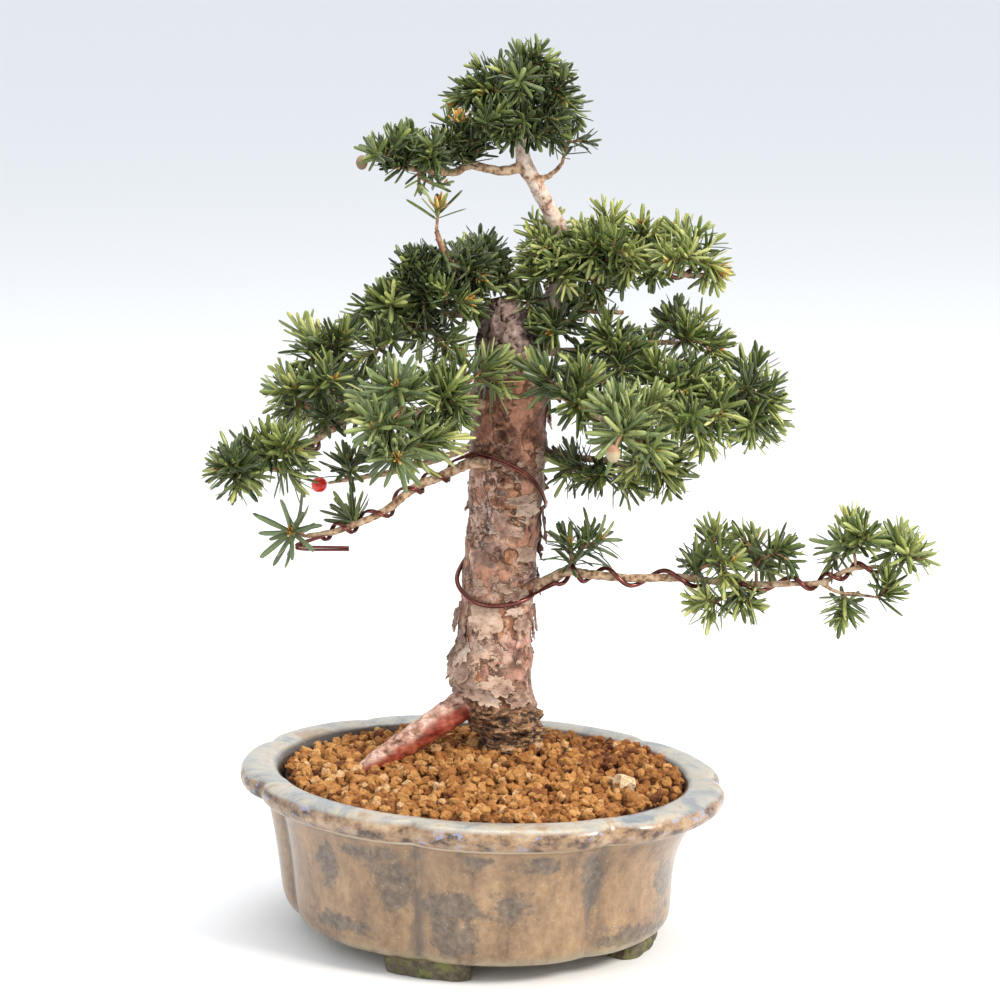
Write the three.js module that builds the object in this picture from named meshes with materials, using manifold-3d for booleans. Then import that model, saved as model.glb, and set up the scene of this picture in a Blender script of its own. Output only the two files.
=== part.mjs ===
// Japanese yew bonsai in a lobed oval stoneware pot. Millimetres, +Z up, seen from the front along +Y.
// Every piece is made about the middle of the pot's footprint, on the plane that the feet stand on.
// The last lines move the whole tree so that the origin is the middle of its own box, at the bottom.
import * as THREE from "three";
import { mergeVertices } from "three/addons/utils/BufferGeometryUtils.js";
import Module from "manifold-3d";

const wasm = await Module();
wasm.setup();

const GAP = 0.35; // left between pieces that touch

// The pot: half axes of the lip's oval, the way the oval is turned, and heights.
const LIP_LONG = 120;
const LIP_SHORT = 96;
const OVAL_TURN = THREE.MathUtils.degToRad(-28);
const LOBE_ENDS = [-170, -108, -62, -7, 32, 78, 124, 153]; // degrees, where two lobes meet in a crease
const FLOOR_TOP = 15;
const POT_BOTTOM = 8;
const FOOT_LENGTH = 46;
const FOOT_WIDTH = 9;
const FOOT_LONG = 0.73; // the feet stand on this share of the long and short half axes
const FOOT_SHORT = 0.82;
const FOOT_ANGLES = [-110, -20, 72, 160]; // degrees about the pot's middle
const DRAIN_RADIUS = 8;
const DRAIN_OFFSET = 42; // from the middle, along the oval's long axis
const SCREEN_SIDE = 30;
const SCREEN_THICK = 1.2;

// The pot's wall from its underside, out and over the lip, and down the inside:
// height, shares of the lip's long and short half axes, and the depth of the creases there.
const POT_WALL = [
  [POT_BOTTOM, 0.72, 0.79, 0.03],
  [POT_BOTTOM + 3, 0.77, 0.86, 0.04],
  [20, 0.815, 0.89, 0.05],
  [40, 0.835, 0.9, 0.05],
  [58, 0.865, 0.92, 0.05],
  [66, 0.885, 0.93, 0.045],
  [67.5, 0.965, 0.965, 0.035],
  [72, 1, 1, 0.035],
  [77, 0.985, 0.985, 0.035],
  [79, 0.955, 0.955, 0.025],
  [79, 0.86, 0.86, 0.008],
  [77, 0.825, 0.825, 0],
  [24, 0.73, 0.8, 0],
  [FLOOR_TOP, 0.68, 0.74, 0],
];

// The soil: its height at the wall and at the trunk, the spacing of its grains,
// and the shares of the lip's long and short half axes that it fills at the top and below.
const SOIL_EDGE = 75.5;
const SOIL_CROWN = 84;
const GRAIN = 9.5;
const GRAIN_HEIGHT = 2.6;
const SOIL_POINTS = 40; // round the wall
const SOIL_TOP = [0.81, 0.82];
const SOIL_LOW = [24, 0.72, 0.79];
const SOIL_BOTTOM = [0.67, 0.73];

// The tree as it grew, in limbs. Each point is x, y, z and the radius there.
const TRUNK_SIDES = 12;
const STUMP_TOP = 296;
const TRUNK = [
  [15, 28, 62, 15],
  [15, 27, 78, 17.5],
  [14, 26, 92, 17.5],
  [10, 25, 105, 18],
  [6, 25, 116, 19.5],
  [7, 25, 135, 17.5],
  [8, 25, 154, 17.5],
  [10, 25, 176, 17],
  [12, 25, 203, 17.5],
  [13, 25, 223, 18],
  [14, 25, 244, 18],
  [14, 26, 257, 17.5],
  [13, 27, 274, 15],
  [12, 28, 285, 12.5],
  [9, 29, 297, 7],
];
const LIMBS = {
  root: [
    [4, 22, 110, 6.5], [-9, 19, 104, 6], [-24, 16, 94, 5.5], [-37, 13, 86, 4.5], [-49, 10, 79, 3.4],
    [-58, 8, 72, 2],
  ],
  leader: [
    [22, 30, 268, 8], [30, 32, 287, 6], [36, 34, 300, 5], [40, 36, 312, 4.5], [40, 38, 321, 4],
    [36, 38, 331, 4], [25, 36, 352, 3.6], [21, 35, 359, 4], [19, 34, 370, 2.8], [20, 33, 391, 1.6],
  ],
  apex_left: [
    [18, 34, 358, 2.4], [9, 32, 357, 2.3], [-5, 27, 360, 2], [-12, 24, 357, 1.9], [-28, 18, 359, 1.5],
    [-42, 14, 361, 1.1],
  ],
  apex_right: [[26, 36, 353, 1.6], [32, 36, 354, 1.4], [38, 35, 360, 1.1]],
  right_upper: [
    [40, 36, 312, 3.5], [47, 30, 316, 3], [56, 25, 319, 2.7], [65, 22, 318, 2.5], [76, 18, 316, 2.2],
    [87, 14, 314, 1.9], [96, 10, 311, 1.5], [104, 7, 312, 1.1],
  ],
  right_upper_low: [[36, 34, 299, 2], [46, 42, 291, 1.7], [58, 47, 289, 1.4], [68, 50, 288, 1.1]],
  left_upper: [
    [32, 34, 293, 2.9], [21, 46, 301, 2.6], [9, 44, 302, 2.4], [-2, 33, 301, 2.2], [-9, 24, 299, 2],
  ],
  left_upright: [[-9, 24, 299, 1.9], [-11, 20, 309, 1.6], [-16, 15, 320, 1.4], [-20, 11, 332, 1.1]],
  left_upper_low: [[6, 30, 289, 2.4], [-6, 30, 290, 1.9], [-18, 29, 291, 1.5], [-28, 27, 293, 1.1]],
  left_mid: [
    [4, 22, 252, 4], [-8, 10, 248, 3.5], [-16, 0, 247, 3], [-26, -8, 247, 2.8], [-37, -4, 248, 2.6],
    [-47, 4, 250, 2.5], [-60, 8, 245, 2.3], [-68, 4, 241, 2.2], [-76, 0, 236, 2.1], [-86, -8, 227, 1.7],
    [-97, -13, 225, 1.4], [-108, -16, 224, 1.1],
  ],
  left_front: [
    [4, 16, 250, 2.8], [-6, -4, 253, 2.4], [-14, -18, 256, 2.1], [-25, -30, 255, 1.8],
    [-37, -42, 246, 1.3],
  ],
  left_back: [[6, 34, 246, 2.8], [-10, 50, 248, 2.4], [-34, 54, 247, 1.9], [-60, 46, 242, 1.3]],
  left_low: [
    [0, 22, 222, 2.8], [-9, 12, 218, 2.4], [-21, 4, 215, 2.2], [-31, 0, 213, 2.1], [-44, -8, 204, 1.9],
    [-59, -12, 198, 1.7], [-69, -14, 195, 1.6], [-80, -17, 194, 1.3],
  ],
  left_berry: [
    [2, 30, 230, 2.1], [-12, 36, 223, 1.9], [-38, 34, 215, 1.6], [-53, 30, 213, 1.4],
    [-72.2, 25, 210.6, 0.9],
  ],
  right_mid: [
    [25, 25, 252, 4], [37, 18, 255, 3.5], [51, 10, 255, 3], [65, 4, 254, 2.6], [79, 0, 254, 2.4],
    [94, -2, 254, 2.1], [109, -2, 255, 1.8], [122, 0, 254, 1.4],
  ],
  right_front: [
    [20, 16, 258, 2.8], [33, -8, 260, 2.5], [45, -24, 257, 2.2], [57, -38, 252, 1.8],
    [70, -50, 244, 1.3],
  ],
  right_high: [
    [22, 30, 276, 2.8], [35, 26, 273, 2.4], [49, 20, 274, 2.1], [64, 16, 276, 1.8], [79, 14, 279, 1.5],
    [93, 14, 279, 1.2],
  ],
  right_back: [[22, 36, 250, 2.8], [40, 52, 253, 2.4], [62, 58, 254, 1.9], [90, 50, 254, 1.3]],
  right_low: [
    [24, 26, 231, 2.3], [36, 24, 224, 1.9], [56, 14, 224, 1.7], [67, 8, 223, 1.6], [79, 2, 225, 1.3],
  ],
  low_right: [
    [20, 23, 158, 3.6], [30, 14, 165, 3], [41, 8, 172, 2.4], [50, 6, 171, 2.2], [70, 2, 170, 2],
    [95, -2, 171, 1.9], [120, -6, 169, 1.7], [145, -10, 170, 1.5], [158, -11, 171, 1.4],
    [170, -12, 177, 1.3], [183, -14, 179, 1.1], [193, -16, 180, 1],
  ],
  low_right_under: [[157, -11, 171, 1.1], [165, -14, 167, 1], [174, -18, 167, 0.9], [182, -21, 166, 0.8]],
};

// Loose plates of bark. Their outer and inner faces stand off the trunk by this much at the foot
// and at the top, where they are sunk in.
const PLATE_FOOT = [2.6, 1.4];
const PLATE_TOP = [0.3, -2.2];

// Height, the way it faces in degrees, height and width of each plate.
const BARK_PLATES = [
  [112, -150, 16, 13],
  [126, 178, 14, 10],
  [104, -80, 9, 20],
  [106, -45, 8, 12],
  [141, -110, 14, 14],
  [147, -20, 14, 7],
  [118, 60, 18, 14],
  [186, -14, 22, 8],
  [200, 110, 18, 14],
  [246, 70, 18, 13],
];

// Wire, 2 mm thick, wound on to shape the young branches.
const WIRE_RADIUS = 1;
const WIRE_SIDES = 5;
const WIRE_STEPS_A_TURN = 7;
const LOOP_STEP = 24; // degrees between the points of a loop round the trunk

// Foliage. Each spray is a list of the tips of its shoots; the first one ends the spray's own twig.
const TWIG_RADIUS = 0.95;
const TWIG_SEAT = 0.2; // added to the gap under a twig's foot, which is flat on round bark
const TWIG_PARTS = 4; // straight pieces that a twig is tested in
const TWIG_REACH = [4, 50]; // shortest and longest way from a branch to a spray's first tip
const LONG_TWIG = 22; // a twig longer than this is bent half way along its bare part
const BUD_SPACING = 4; // along a branch, between the places where a twig may leave it
const FORK_PLACES = 12; // along a twig, where another shoot may leave it
const LEAFY_LENGTH = 5.2; // the end of each shoot that bears needles
const NEEDLE_RINGS = 2;
const END_NEEDLE = 8; // the young needle that ends each shoot
const NEEDLE_LENGTH = 18.5;
const NEEDLE_WIDTH = 2.4;
const NEEDLE_RIDGE = 0.8;
const NEEDLE_LEAN = [0.15, 0.9]; // radians forward from square to the shoot, at the first and last ring
const NEEDLE_WANDER = 0.12; // radians either way, and more after each way that isn't clear
const NEEDLE_TRIES = 8;
const NEEDLE_CLEARANCE = [1.1, 0.9]; // kept round the near and the far part of a needle
const FAR_APART = 60; // pieces whose ends are further apart than this can't touch
const SPRAYS = {
  apex: [
    [[19, 34, 411], [18, 16, 400], [30, 26, 408]],
    [[-1, 40, 404], [1, 20, 394], [-11, 30, 389]],
    [[-9, 18, 380], [9, 14, 385]],
    [[38, 38, 400], [39, 20, 390], [45, 36, 381]],
    [[12, 54, 396], [28, 56, 388], [14, 54, 374]],
  ],
  apex_left: [
    [[-18, 20, 372], [-24, 8, 365]],
    [[-46, 12, 367], [-36, 18, 374]],
    [[-28, 12, 351], [-17, 27, 351]],
  ],
  left_upper: [
    [[-19, 8, 341], [-33, 6, 324]],
    [[-31, 14, 299], [-22, 2, 306], [-7, 2, 300]],
    [[-8, 24, 327], [-3, 14, 312], [-20, 22, 317]],
    [[-4, 48, 329], [2, 62, 320], [-15, 58, 311], [6, 42, 318]],
  ],
  right_upper: [
    [[28, 50, 322], [30, 24, 321], [40, 14, 306]],
    [[52, 14, 330], [49, 40, 329], [62, 28, 336], [71, 4, 323]],
    [[58, 58, 313], [54, 46, 297]],
    [[82, 40, 324], [74, 20, 333]],
    [[97, 6, 326], [90, 20, 332], [108, 4, 315], [86, -8, 320]],
  ],
  right_high: [
    [[40, 32, 287], [33, 12, 284]],
    [[57, 12, 284], [67, -4, 279], [65, -20, 269]],
    [[97, 8, 283], [89, 26, 288], [110, 8, 277]],
  ],
  right_mid: [
    [[80, -14, 273], [91, -26, 262], [103, -12, 267]],
    [[134, -4, 254], [122, 16, 268], [115, -16, 264]],
    [[136, 10, 243], [122, -18, 245]],
    [[108, -36, 254], [100, -32, 240], [88, -48, 252]],
    [[72, -14, 228], [84, -10, 224], [92, 2, 219]],
    [[56, 14, 218], [71, 8, 213], [38, 14, 221]],
  ],
  right_front: [
    [[43, -28, 258], [50, -18, 269], [23, -10, 271]],
    [[63, -63, 250], [59, -46, 259], [78, -62, 243], [77, -38, 261]],
  ],
  right_back: [
    [[81, 58, 274], [62, 68, 267], [104, 48, 264]],
    [[118, 38, 251], [92, 60, 244]],
  ],
  left_mid: [
    [[-118, -17, 226], [-107, -25, 223], [-101, 2, 229]],
    [[-97, -20, 241], [-83, -29, 236], [-84, -14, 219]],
    [[-91, 16, 262], [-84, -8, 262], [-66, -16, 267]],
    [[-84, 28, 283], [-76, 8, 282], [-62, 2, 285]],
    [[-58, 28, 287], [-45, 28, 295], [-40, 8, 299]],
    [[-28, 10, 281], [-54, -6, 275], [-12, 2, 276]],
  ],
  left_front: [
    [[-37, -48, 269], [-50, -32, 260], [-46, -56, 252]],
    [[-37, -56, 238], [-26, -36, 238], [-15, -22, 241]],
    [[-13, -30, 264], [8, -8, 272]],
  ],
  left_back: [
    [[-72, 50, 251], [-53, 62, 258], [-86, 38, 240]],
    [[-63, 24, 221]],
  ],
  low_left: [
    [[-87, -18, 196]],
    [[-60, -8, 202]],
  ],
  low_right: [
    [[42, 4, 186], [56, 0, 189]],
    [[102, 4, 179], [114, 8, 186], [116, -18, 183]],
    [[128, 0, 189], [139, -18, 188], [136, 8, 178]],
    [[120, -11, 161], [100, -8, 160]],
    [[170, -12, 200], [164, -4, 185], [178, -22, 193]],
    [[199, -18, 188], [190, -10, 190]],
    [[168, -15, 158]],
    [[187, -24, 169]],
  ],
};

// The one ripe aril, red, on the end of its branch, and two unripe seeds on short stalks at a shoot's tip.
const ARIL_RADIUS = 3.8;
const ARIL_AT = [-75.9, 24, 210.1];
const SEED_RADIUS = 2.7;
const SEEDS = {
  spray_apex_left_2: [-52, 13, 363],
  spray_right_front_2: [59, -67, 244],
};

const UP = new THREE.Vector3(0, 0, 1);
const vec = (x, y, z) => new THREE.Vector3(x, y, z);

function meanOf(points) {
  return points.reduce((sum, p) => sum.add(p), vec(0, 0, 0)).divideScalar(points.length);
}

// The same draws every time, from 0 to 1.
function seededDraw(seed) {
  let state = seed;
  return () => {
    state = (state + 0x6d2b79f5) | 0;
    let mixed = Math.imul(state ^ (state >>> 15), 1 | state);
    mixed = (mixed + Math.imul(mixed ^ (mixed >>> 7), 61 | mixed)) ^ mixed;
    return ((mixed ^ (mixed >>> 14)) >>> 0) / 4294967296;
  };
}

// Points and triangles gathered into one closed skin.
class Skin {
  points = [];
  faces = [];

  ring(points) {
    const first = this.points.length;
    this.points.push(...points);
    return points.map((_, i) => first + i);
  }

  // The wall between two rings of equally many points, the second one further along.
  wall(near, far) {
    near.forEach((a, i) => {
      const b = near[(i + 1) % near.length];
      const c = far[(i + 1) % far.length];
      const d = far[i];
      this.faces.push([a, b, c], [a, c, d]);
    });
  }

  // A fan from a ring to one point that closes it.
  close(ring, point, atFarEnd) {
    const [tip] = this.ring([point]);
    ring.forEach((a, i) => {
      const b = ring[(i + 1) % ring.length];
      this.faces.push(atFarEnd ? [a, b, tip] : [b, a, tip]);
    });
  }

  geometry() {
    const made = new THREE.BufferGeometry();
    const numbers = this.points.flatMap((p) => p.toArray());
    made.setAttribute("position", new THREE.Float32BufferAttribute(numbers, 3));
    made.setIndex(this.faces.flat());
    return made;
  }
}

function solidOf(geometry) {
  const bare = geometry.clone();
  bare.deleteAttribute("normal");
  bare.deleteAttribute("uv");
  const merged = mergeVertices(bare, 1e-4);
  return new wasm.Manifold(
    new wasm.Mesh({
      numProp: 3,
      vertProperties: new Float32Array(merged.attributes.position.array),
      triVerts: new Uint32Array(merged.index.array),
    }),
  );
}

function geometryOf(solid) {
  const mesh = solid.getMesh();
  const made = new THREE.BufferGeometry();
  made.setAttribute("position", new THREE.BufferAttribute(mesh.vertProperties, 3));
  made.setIndex(new THREE.BufferAttribute(mesh.triVerts, 1));
  return made;
}

function join(solids) {
  return solids.reduce((whole, solid) => whole.add(solid));
}

// The largest body of a solid: scraps that a cut leaves loose are dropped.
function largestOf(solid) {
  return solid.decompose().reduce((a, b) => (a.volume() > b.volume() ? a : b));
}

const bonsai = new THREE.Group();
bonsai.name = "yew_bonsai";

function place(name, geometry, look) {
  const mesh = new THREE.Mesh(geometry, look);
  mesh.name = name;
  bonsai.add(mesh);
}

function look(color, roughness, metalness = 0) {
  return new THREE.MeshStandardMaterial({ color, roughness, metalness });
}
const STONEWARE = look(0x8d8375, 0.35);
const SCREEN_PLASTIC = look(0x2b2d2a, 0.7);
const GRAVEL = look(0xb07a3e, 0.95);
const BARK = look(0x8a6a5c, 0.85);
const COPPER = look(0x5a2f25, 0.35, 0.8);
const LEAF = look(0x3f6b2c, 0.5);
const ARIL_RED = look(0xc41a1a, 0.35);

// The lip's oval and its lobes

// Distance from the pot's middle to a plain oval, in the direction of an angle.
function ovalRadius(angle, longShare, shortShare) {
  const turned = angle - OVAL_TURN;
  const longHalf = LIP_LONG * longShare;
  const shortHalf = LIP_SHORT * shortShare;
  return 1 / Math.hypot(Math.cos(turned) / longHalf, Math.sin(turned) / shortHalf);
}

// Each lobe runs from one crease to the next: its angles, and how near the crease each lies, 0 to 1.
function lobeSamples() {
  const stops = [0, 0.12, 0.37, 0.63, 0.88];
  return LOBE_ENDS.flatMap((start, i) => {
    const end = i + 1 < LOBE_ENDS.length ? LOBE_ENDS[i + 1] : LOBE_ENDS[0] + 360;
    return stops.map((stop) => ({
      angle: THREE.MathUtils.degToRad(start + (end - start) * stop),
      crease: Math.abs(2 * stop - 1) ** 3,
    }));
  });
}

// One level ring of the pot's outline.
function outline(samples, height, longShare, shortShare, creaseDepth) {
  return samples.map(({ angle, crease }) => {
    const radius = ovalRadius(angle, longShare, shortShare) * (1 - creaseDepth * crease);
    return vec(radius * Math.cos(angle), radius * Math.sin(angle), height);
  });
}

// A prism that stands on a level outline.
function prism(outlinePoints, bottom, top) {
  const skin = new Skin();
  const low = skin.ring(outlinePoints.map((p) => vec(p.x, p.y, bottom)));
  const high = skin.ring(outlinePoints.map((p) => vec(p.x, p.y, top)));
  const middle = meanOf(outlinePoints);
  skin.close(low, vec(middle.x, middle.y, bottom), false);
  skin.wall(low, high);
  skin.close(high, vec(middle.x, middle.y, top), true);
  return solidOf(skin.geometry());
}

function foot(degrees) {
  const middle = THREE.MathUtils.degToRad(degrees);
  const half = FOOT_LENGTH / 2 / ovalRadius(middle, FOOT_LONG, FOOT_SHORT);
  const steps = [-1, -0.4, 0.4, 1];
  const arc = (inset) =>
    steps.map((step) => {
      const angle = middle + half * step;
      const radius = ovalRadius(angle, FOOT_LONG, FOOT_SHORT) - inset - (Math.abs(step) === 1 ? 1.5 : 0);
      return vec(radius * Math.cos(angle), radius * Math.sin(angle), 0);
    });
  return prism([...arc(0), ...arc(FOOT_WIDTH).reverse()], 0, POT_BOTTOM + 2);
}

const drainPlaces = [-1, 1].map((side) =>
  vec(side * DRAIN_OFFSET * Math.cos(OVAL_TURN), side * DRAIN_OFFSET * Math.sin(OVAL_TURN), 0),
);

function drainHole(middle) {
  const hole = new THREE.CylinderGeometry(DRAIN_RADIUS, DRAIN_RADIUS, FLOOR_TOP, 12);
  hole.rotateX(Math.PI / 2);
  hole.translate(middle.x, middle.y, FLOOR_TOP / 2 + 3);
  return solidOf(hole);
}

function makePot() {
  const samples = lobeSamples();
  const skin = new Skin();
  const rings = POT_WALL.map((row) => skin.ring(outline(samples, ...row)));
  skin.close(rings[0], vec(0, 0, POT_BOTTOM), false);
  rings.slice(1).forEach((ring, i) => skin.wall(rings[i], ring));
  skin.close(rings[rings.length - 1], vec(0, 0, FLOOR_TOP), true);
  let pot = solidOf(skin.geometry());
  FOOT_ANGLES.forEach((degrees) => (pot = pot.add(foot(degrees))));
  drainPlaces.forEach((middle) => (pot = pot.subtract(drainHole(middle))));
  place("pot", geometryOf(pot), STONEWARE);
}

// A plastic screen over each drain hole keeps the soil in: a plate with a grid of openings.
function makeScreens() {
  const bottom = FLOOR_TOP + GAP;
  const openings = [-1, 1].flatMap((i) => [-1, 1].map((j) => [i, j]));
  drainPlaces.forEach((middle, side) => {
    const box = (width, thick, dx, dy) => {
      const made = new THREE.BoxGeometry(width, width, thick);
      made.translate(middle.x + dx, middle.y + dy, bottom + SCREEN_THICK / 2);
      return solidOf(made);
    };
    let screen = box(SCREEN_SIDE, SCREEN_THICK, 0, 0);
    openings.forEach(([i, j]) => (screen = screen.subtract(box(6, SCREEN_THICK * 3, i * 4, j * 4))));
    place(side ? "drain_screen_right" : "drain_screen_left", geometryOf(screen), SCREEN_PLASTIC);
  });
}

// Limbs

const limbPoint = ([x, y, z]) => vec(x, y, z);

// Rings square to a path through the points, turned as little as possible from one to the next.
function ringsAlong(points, sides, radiusAt, turnAt = () => 0) {
  const tangents = points.map((p, i) =>
    points[Math.min(i + 1, points.length - 1)].clone().sub(points[Math.max(i - 1, 0)]).normalize(),
  );
  const across = Math.abs(tangents[0].z) > 0.9 ? vec(1, 0, 0) : UP.clone();
  return points.map((p, i) => {
    across.addScaledVector(tangents[i], -across.dot(tangents[i])).normalize();
    const other = tangents[i].clone().cross(across);
    return Array.from({ length: sides }, (_, k) => {
      const angle = turnAt(i) + (k / sides) * 2 * Math.PI;
      const radius = radiusAt(i, angle);
      return p
        .clone()
        .addScaledVector(across, radius * Math.cos(angle))
        .addScaledVector(other, radius * Math.sin(angle));
    });
  });
}

function tube(points, sides, radiusAt) {
  const skin = new Skin();
  const rings = ringsAlong(points, sides, radiusAt).map((ring) => skin.ring(ring));
  skin.close(rings[0], points[0], false);
  rings.slice(1).forEach((ring, i) => skin.wall(rings[i], ring));
  skin.close(rings[rings.length - 1], points[points.length - 1], true);
  return solidOf(skin.geometry());
}

// A branch, with a cut end or a fine tip.
function limbSolid(limb, grow = 0) {
  const sides = limb[0][3] > 3.2 ? 5 : 4;
  return tube(limb.map(limbPoint), sides, (i) => limb[i][3] + grow);
}

// The trunk's points again, with one more between each two on a smooth curve.
function smoothTrunk() {
  const curve = new THREE.CatmullRomCurve3(TRUNK.map(limbPoint));
  const count = (TRUNK.length - 1) * 2;
  return Array.from({ length: count + 1 }, (_, i) => {
    const at = curve.getPoint(i / count);
    const low = TRUNK[Math.floor(i / 2)][3];
    const high = TRUNK[Math.ceil(i / 2)][3];
    return [at.x, at.y, at.z, (low + high) / 2];
  });
}

// Shallow flutes and lumps of old bark.
function barkRelief(height, angle) {
  const flutes = 0.5 * Math.sin(3 * angle + height * 0.02) + 0.35 * Math.sin(5 * angle - height * 0.05);
  return flutes + 0.4 * Math.sin(height * 0.31 + 2 * angle);
}

function trunkSolid(grow = 0) {
  const points = smoothTrunk();
  const radiusAt = (i, angle) => points[i][3] + grow + barkRelief(points[i][2], angle);
  return tube(points.map(limbPoint), TRUNK_SIDES, radiusAt);
}

// Where the trunk's middle and surface are at a height.
function trunkAt(height) {
  const i = TRUNK.findIndex((p, k) => k > 0 && p[2] >= height);
  const [low, high] = [TRUNK[i - 1], TRUNK[i]];
  const share = (height - low[2]) / (high[2] - low[2]);
  const mix = (k) => low[k] + (high[k] - low[k]) * share;
  return { x: mix(0), y: mix(1), radius: mix(3) };
}

// A plate of bark, bent round the trunk, its foot standing off where it has come loose.
function barkPlate([height, degrees, tall, wide]) {
  const middle = trunkAt(height);
  const facing = THREE.MathUtils.degToRad(degrees);
  const spread = wide / 2 / middle.radius;
  const skin = new Skin();
  const row = (level, outside, inside) => {
    const edge = (offset, order) =>
      order.map((step) => {
        const angle = facing + spread * step;
        const radius = middle.radius + barkRelief(level, angle) + offset;
        const x = middle.x + radius * Math.cos(angle);
        const y = middle.y + radius * Math.sin(angle);
        return vec(x, y, level + step * 1.2);
      });
    return skin.ring([...edge(outside, [-1, 0, 1]), ...edge(inside, [1, 0, -1])]);
  };
  const foot = row(height - tall / 2, ...PLATE_FOOT);
  const top = row(height + tall / 2, ...PLATE_TOP);
  skin.faces.push([foot[0], foot[5], foot[4]], [foot[0], foot[4], foot[1]]);
  skin.faces.push([foot[1], foot[4], foot[3]], [foot[1], foot[3], foot[2]]);
  skin.wall(foot, top);
  skin.faces.push([top[0], top[4], top[5]], [top[0], top[1], top[4]]);
  skin.faces.push([top[1], top[3], top[4]], [top[1], top[2], top[3]]);
  return solidOf(skin.geometry());
}

function treeSolid() {
  const branches = Object.values(LIMBS).map((limb) => limbSolid(limb));
  return join([trunkSolid(), ...branches, ...BARK_PLATES.map(barkPlate)]);
}

function makeTree() {
  place("trunk_and_branches", geometryOf(largestOf(treeSolid())), BARK);
}

// How far the bark lies from a point inside a branch, along rays side by side as wide as a twig's foot.
function barkDistance(at, direction, footRadius) {
  const bark = bonsai.getObjectByName("trunk_and_branches");
  const [foot] = ringsAlong([at, at.clone().add(direction)], 6, () => footRadius);
  const reach = 12;
  const distances = [at, ...foot].map((from) => {
    const start = from.clone().addScaledVector(direction, reach);
    const [hit] = new THREE.Raycaster(start, direction.clone().negate(), 0, reach).intersectObject(bark);
    return hit ? reach - hit.distance : 0;
  });
  return Math.max(...distances);
}

// Soil: round rings of points, each a grain's top or the dip beside it, stitched ring to ring.
function makeSoil() {
  const draw = seededDraw(11);
  const skin = new Skin();
  const wallRadius = (angle, longShare, shortShare) => ovalRadius(angle, longShare, shortShare) - GAP - 0.15;

  const level = (height, longShare, shortShare) =>
    skin.ring(
      Array.from({ length: SOIL_POINTS }, (_, k) => {
        const angle = (k / SOIL_POINTS) * 2 * Math.PI;
        const radius = wallRadius(angle, longShare, shortShare);
        return vec(radius * Math.cos(angle), radius * Math.sin(angle), height);
      }),
    );

  const grains = (share, count) =>
    skin.ring(
      Array.from({ length: count }, (_, k) => {
        const angle = (k / count) * 2 * Math.PI;
        const radius = wallRadius(angle, ...SOIL_TOP) * share;
        const x = radius * Math.cos(angle);
        const y = radius * Math.sin(angle);
        const towardsTrunk = Math.exp(-(((x - 12) / 55) ** 2) - ((y - 20) / 45) ** 2);
        const bump = share < 1 ? (draw() - 0.35) * GRAIN_HEIGHT : 0;
        return vec(x, y, SOIL_EDGE + (SOIL_CROWN - SOIL_EDGE) * towardsTrunk + bump);
      }),
    );

  const stitch = (outer, inner) => {
    let o = 0;
    let i = 0;
    while (o < outer.length || i < inner.length) {
      const outerNext = (o + 1) / outer.length;
      const innerNext = (i + 1) / inner.length;
      const a = outer[o % outer.length];
      const c = inner[i % inner.length];
      if (i >= inner.length || (o < outer.length && outerNext <= innerNext)) {
        skin.faces.push([a, outer[(o + 1) % outer.length], c]);
        o += 1;
      } else {
        skin.faces.push([a, inner[(i + 1) % inner.length], c]);
        i += 1;
      }
    }
  };

  const bottomHeight = FLOOR_TOP + GAP + SCREEN_THICK + GAP;
  const bottom = level(bottomHeight, ...SOIL_BOTTOM);
  const low = level(...SOIL_LOW);
  skin.close(bottom, vec(0, 0, bottomHeight), false);
  skin.wall(bottom, low);
  let outer = grains(1, SOIL_POINTS);
  skin.wall(low, outer);
  const ringCount = Math.round((LIP_LONG * SOIL_TOP[0]) / GRAIN);
  for (let ring = ringCount - 1; ring > 0; ring -= 1) {
    const share = ring / ringCount;
    const inner = grains(share, Math.max(6, Math.round(SOIL_POINTS * share * 1.4)));
    stitch(outer, inner);
    outer = inner;
  }
  skin.close(outer, vec(0, 0, SOIL_CROWN - 3), true);
  const buried = trunkSolid(GAP).add(limbSolid(LIMBS.root, GAP));
  place("soil", geometryOf(largestOf(solidOf(skin.geometry()).subtract(buried))), GRAVEL);
}

// Wires

// Straight pieces with a thickness, kept so that what is made later can stay clear of them.
const capsules = [];

function keepClear(owner, points, radiusAt) {
  for (let i = 1; i < points.length; i += 1) {
    const radius = Math.max(radiusAt(i - 1), radiusAt(i));
    capsules.push({ owner, from: points[i - 1], to: points[i], radius });
  }
}

// A helix round part of a limb, from one of its points to a later one, counted from its start.
function coilRound(limb, firstPoint, lastPoint, turns, startTurn) {
  const centres = limb.map(limbPoint);
  const radii = ringsAlong(centres, 4, () => 1);
  const steps = Math.round(Math.abs(turns) * WIRE_STEPS_A_TURN);
  return Array.from({ length: steps + 1 }, (_, k) => {
    const along = firstPoint + ((lastPoint - firstPoint) * k) / steps;
    const i = Math.min(Math.floor(along), limb.length - 2);
    const share = along - i;
    const middle = centres[i].clone().lerp(centres[i + 1], share);
    const spoke = (point, k) => radii[point][k].clone().sub(centres[point]);
    const right = spoke(i, 0).lerp(spoke(i + 1, 0), share);
    const other = spoke(i, 1).lerp(spoke(i + 1, 1), share);
    const bark = limb[i][3] + (limb[i + 1][3] - limb[i][3]) * share;
    const reach = (bark + WIRE_RADIUS + GAP) / Math.cos(Math.PI / WIRE_STEPS_A_TURN) + 0.1;
    const angle = 2 * Math.PI * (startTurn + (turns * k) / steps);
    return middle
      .addScaledVector(right, reach * Math.cos(angle))
      .addScaledVector(other, reach * Math.sin(angle));
  });
}

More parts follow.
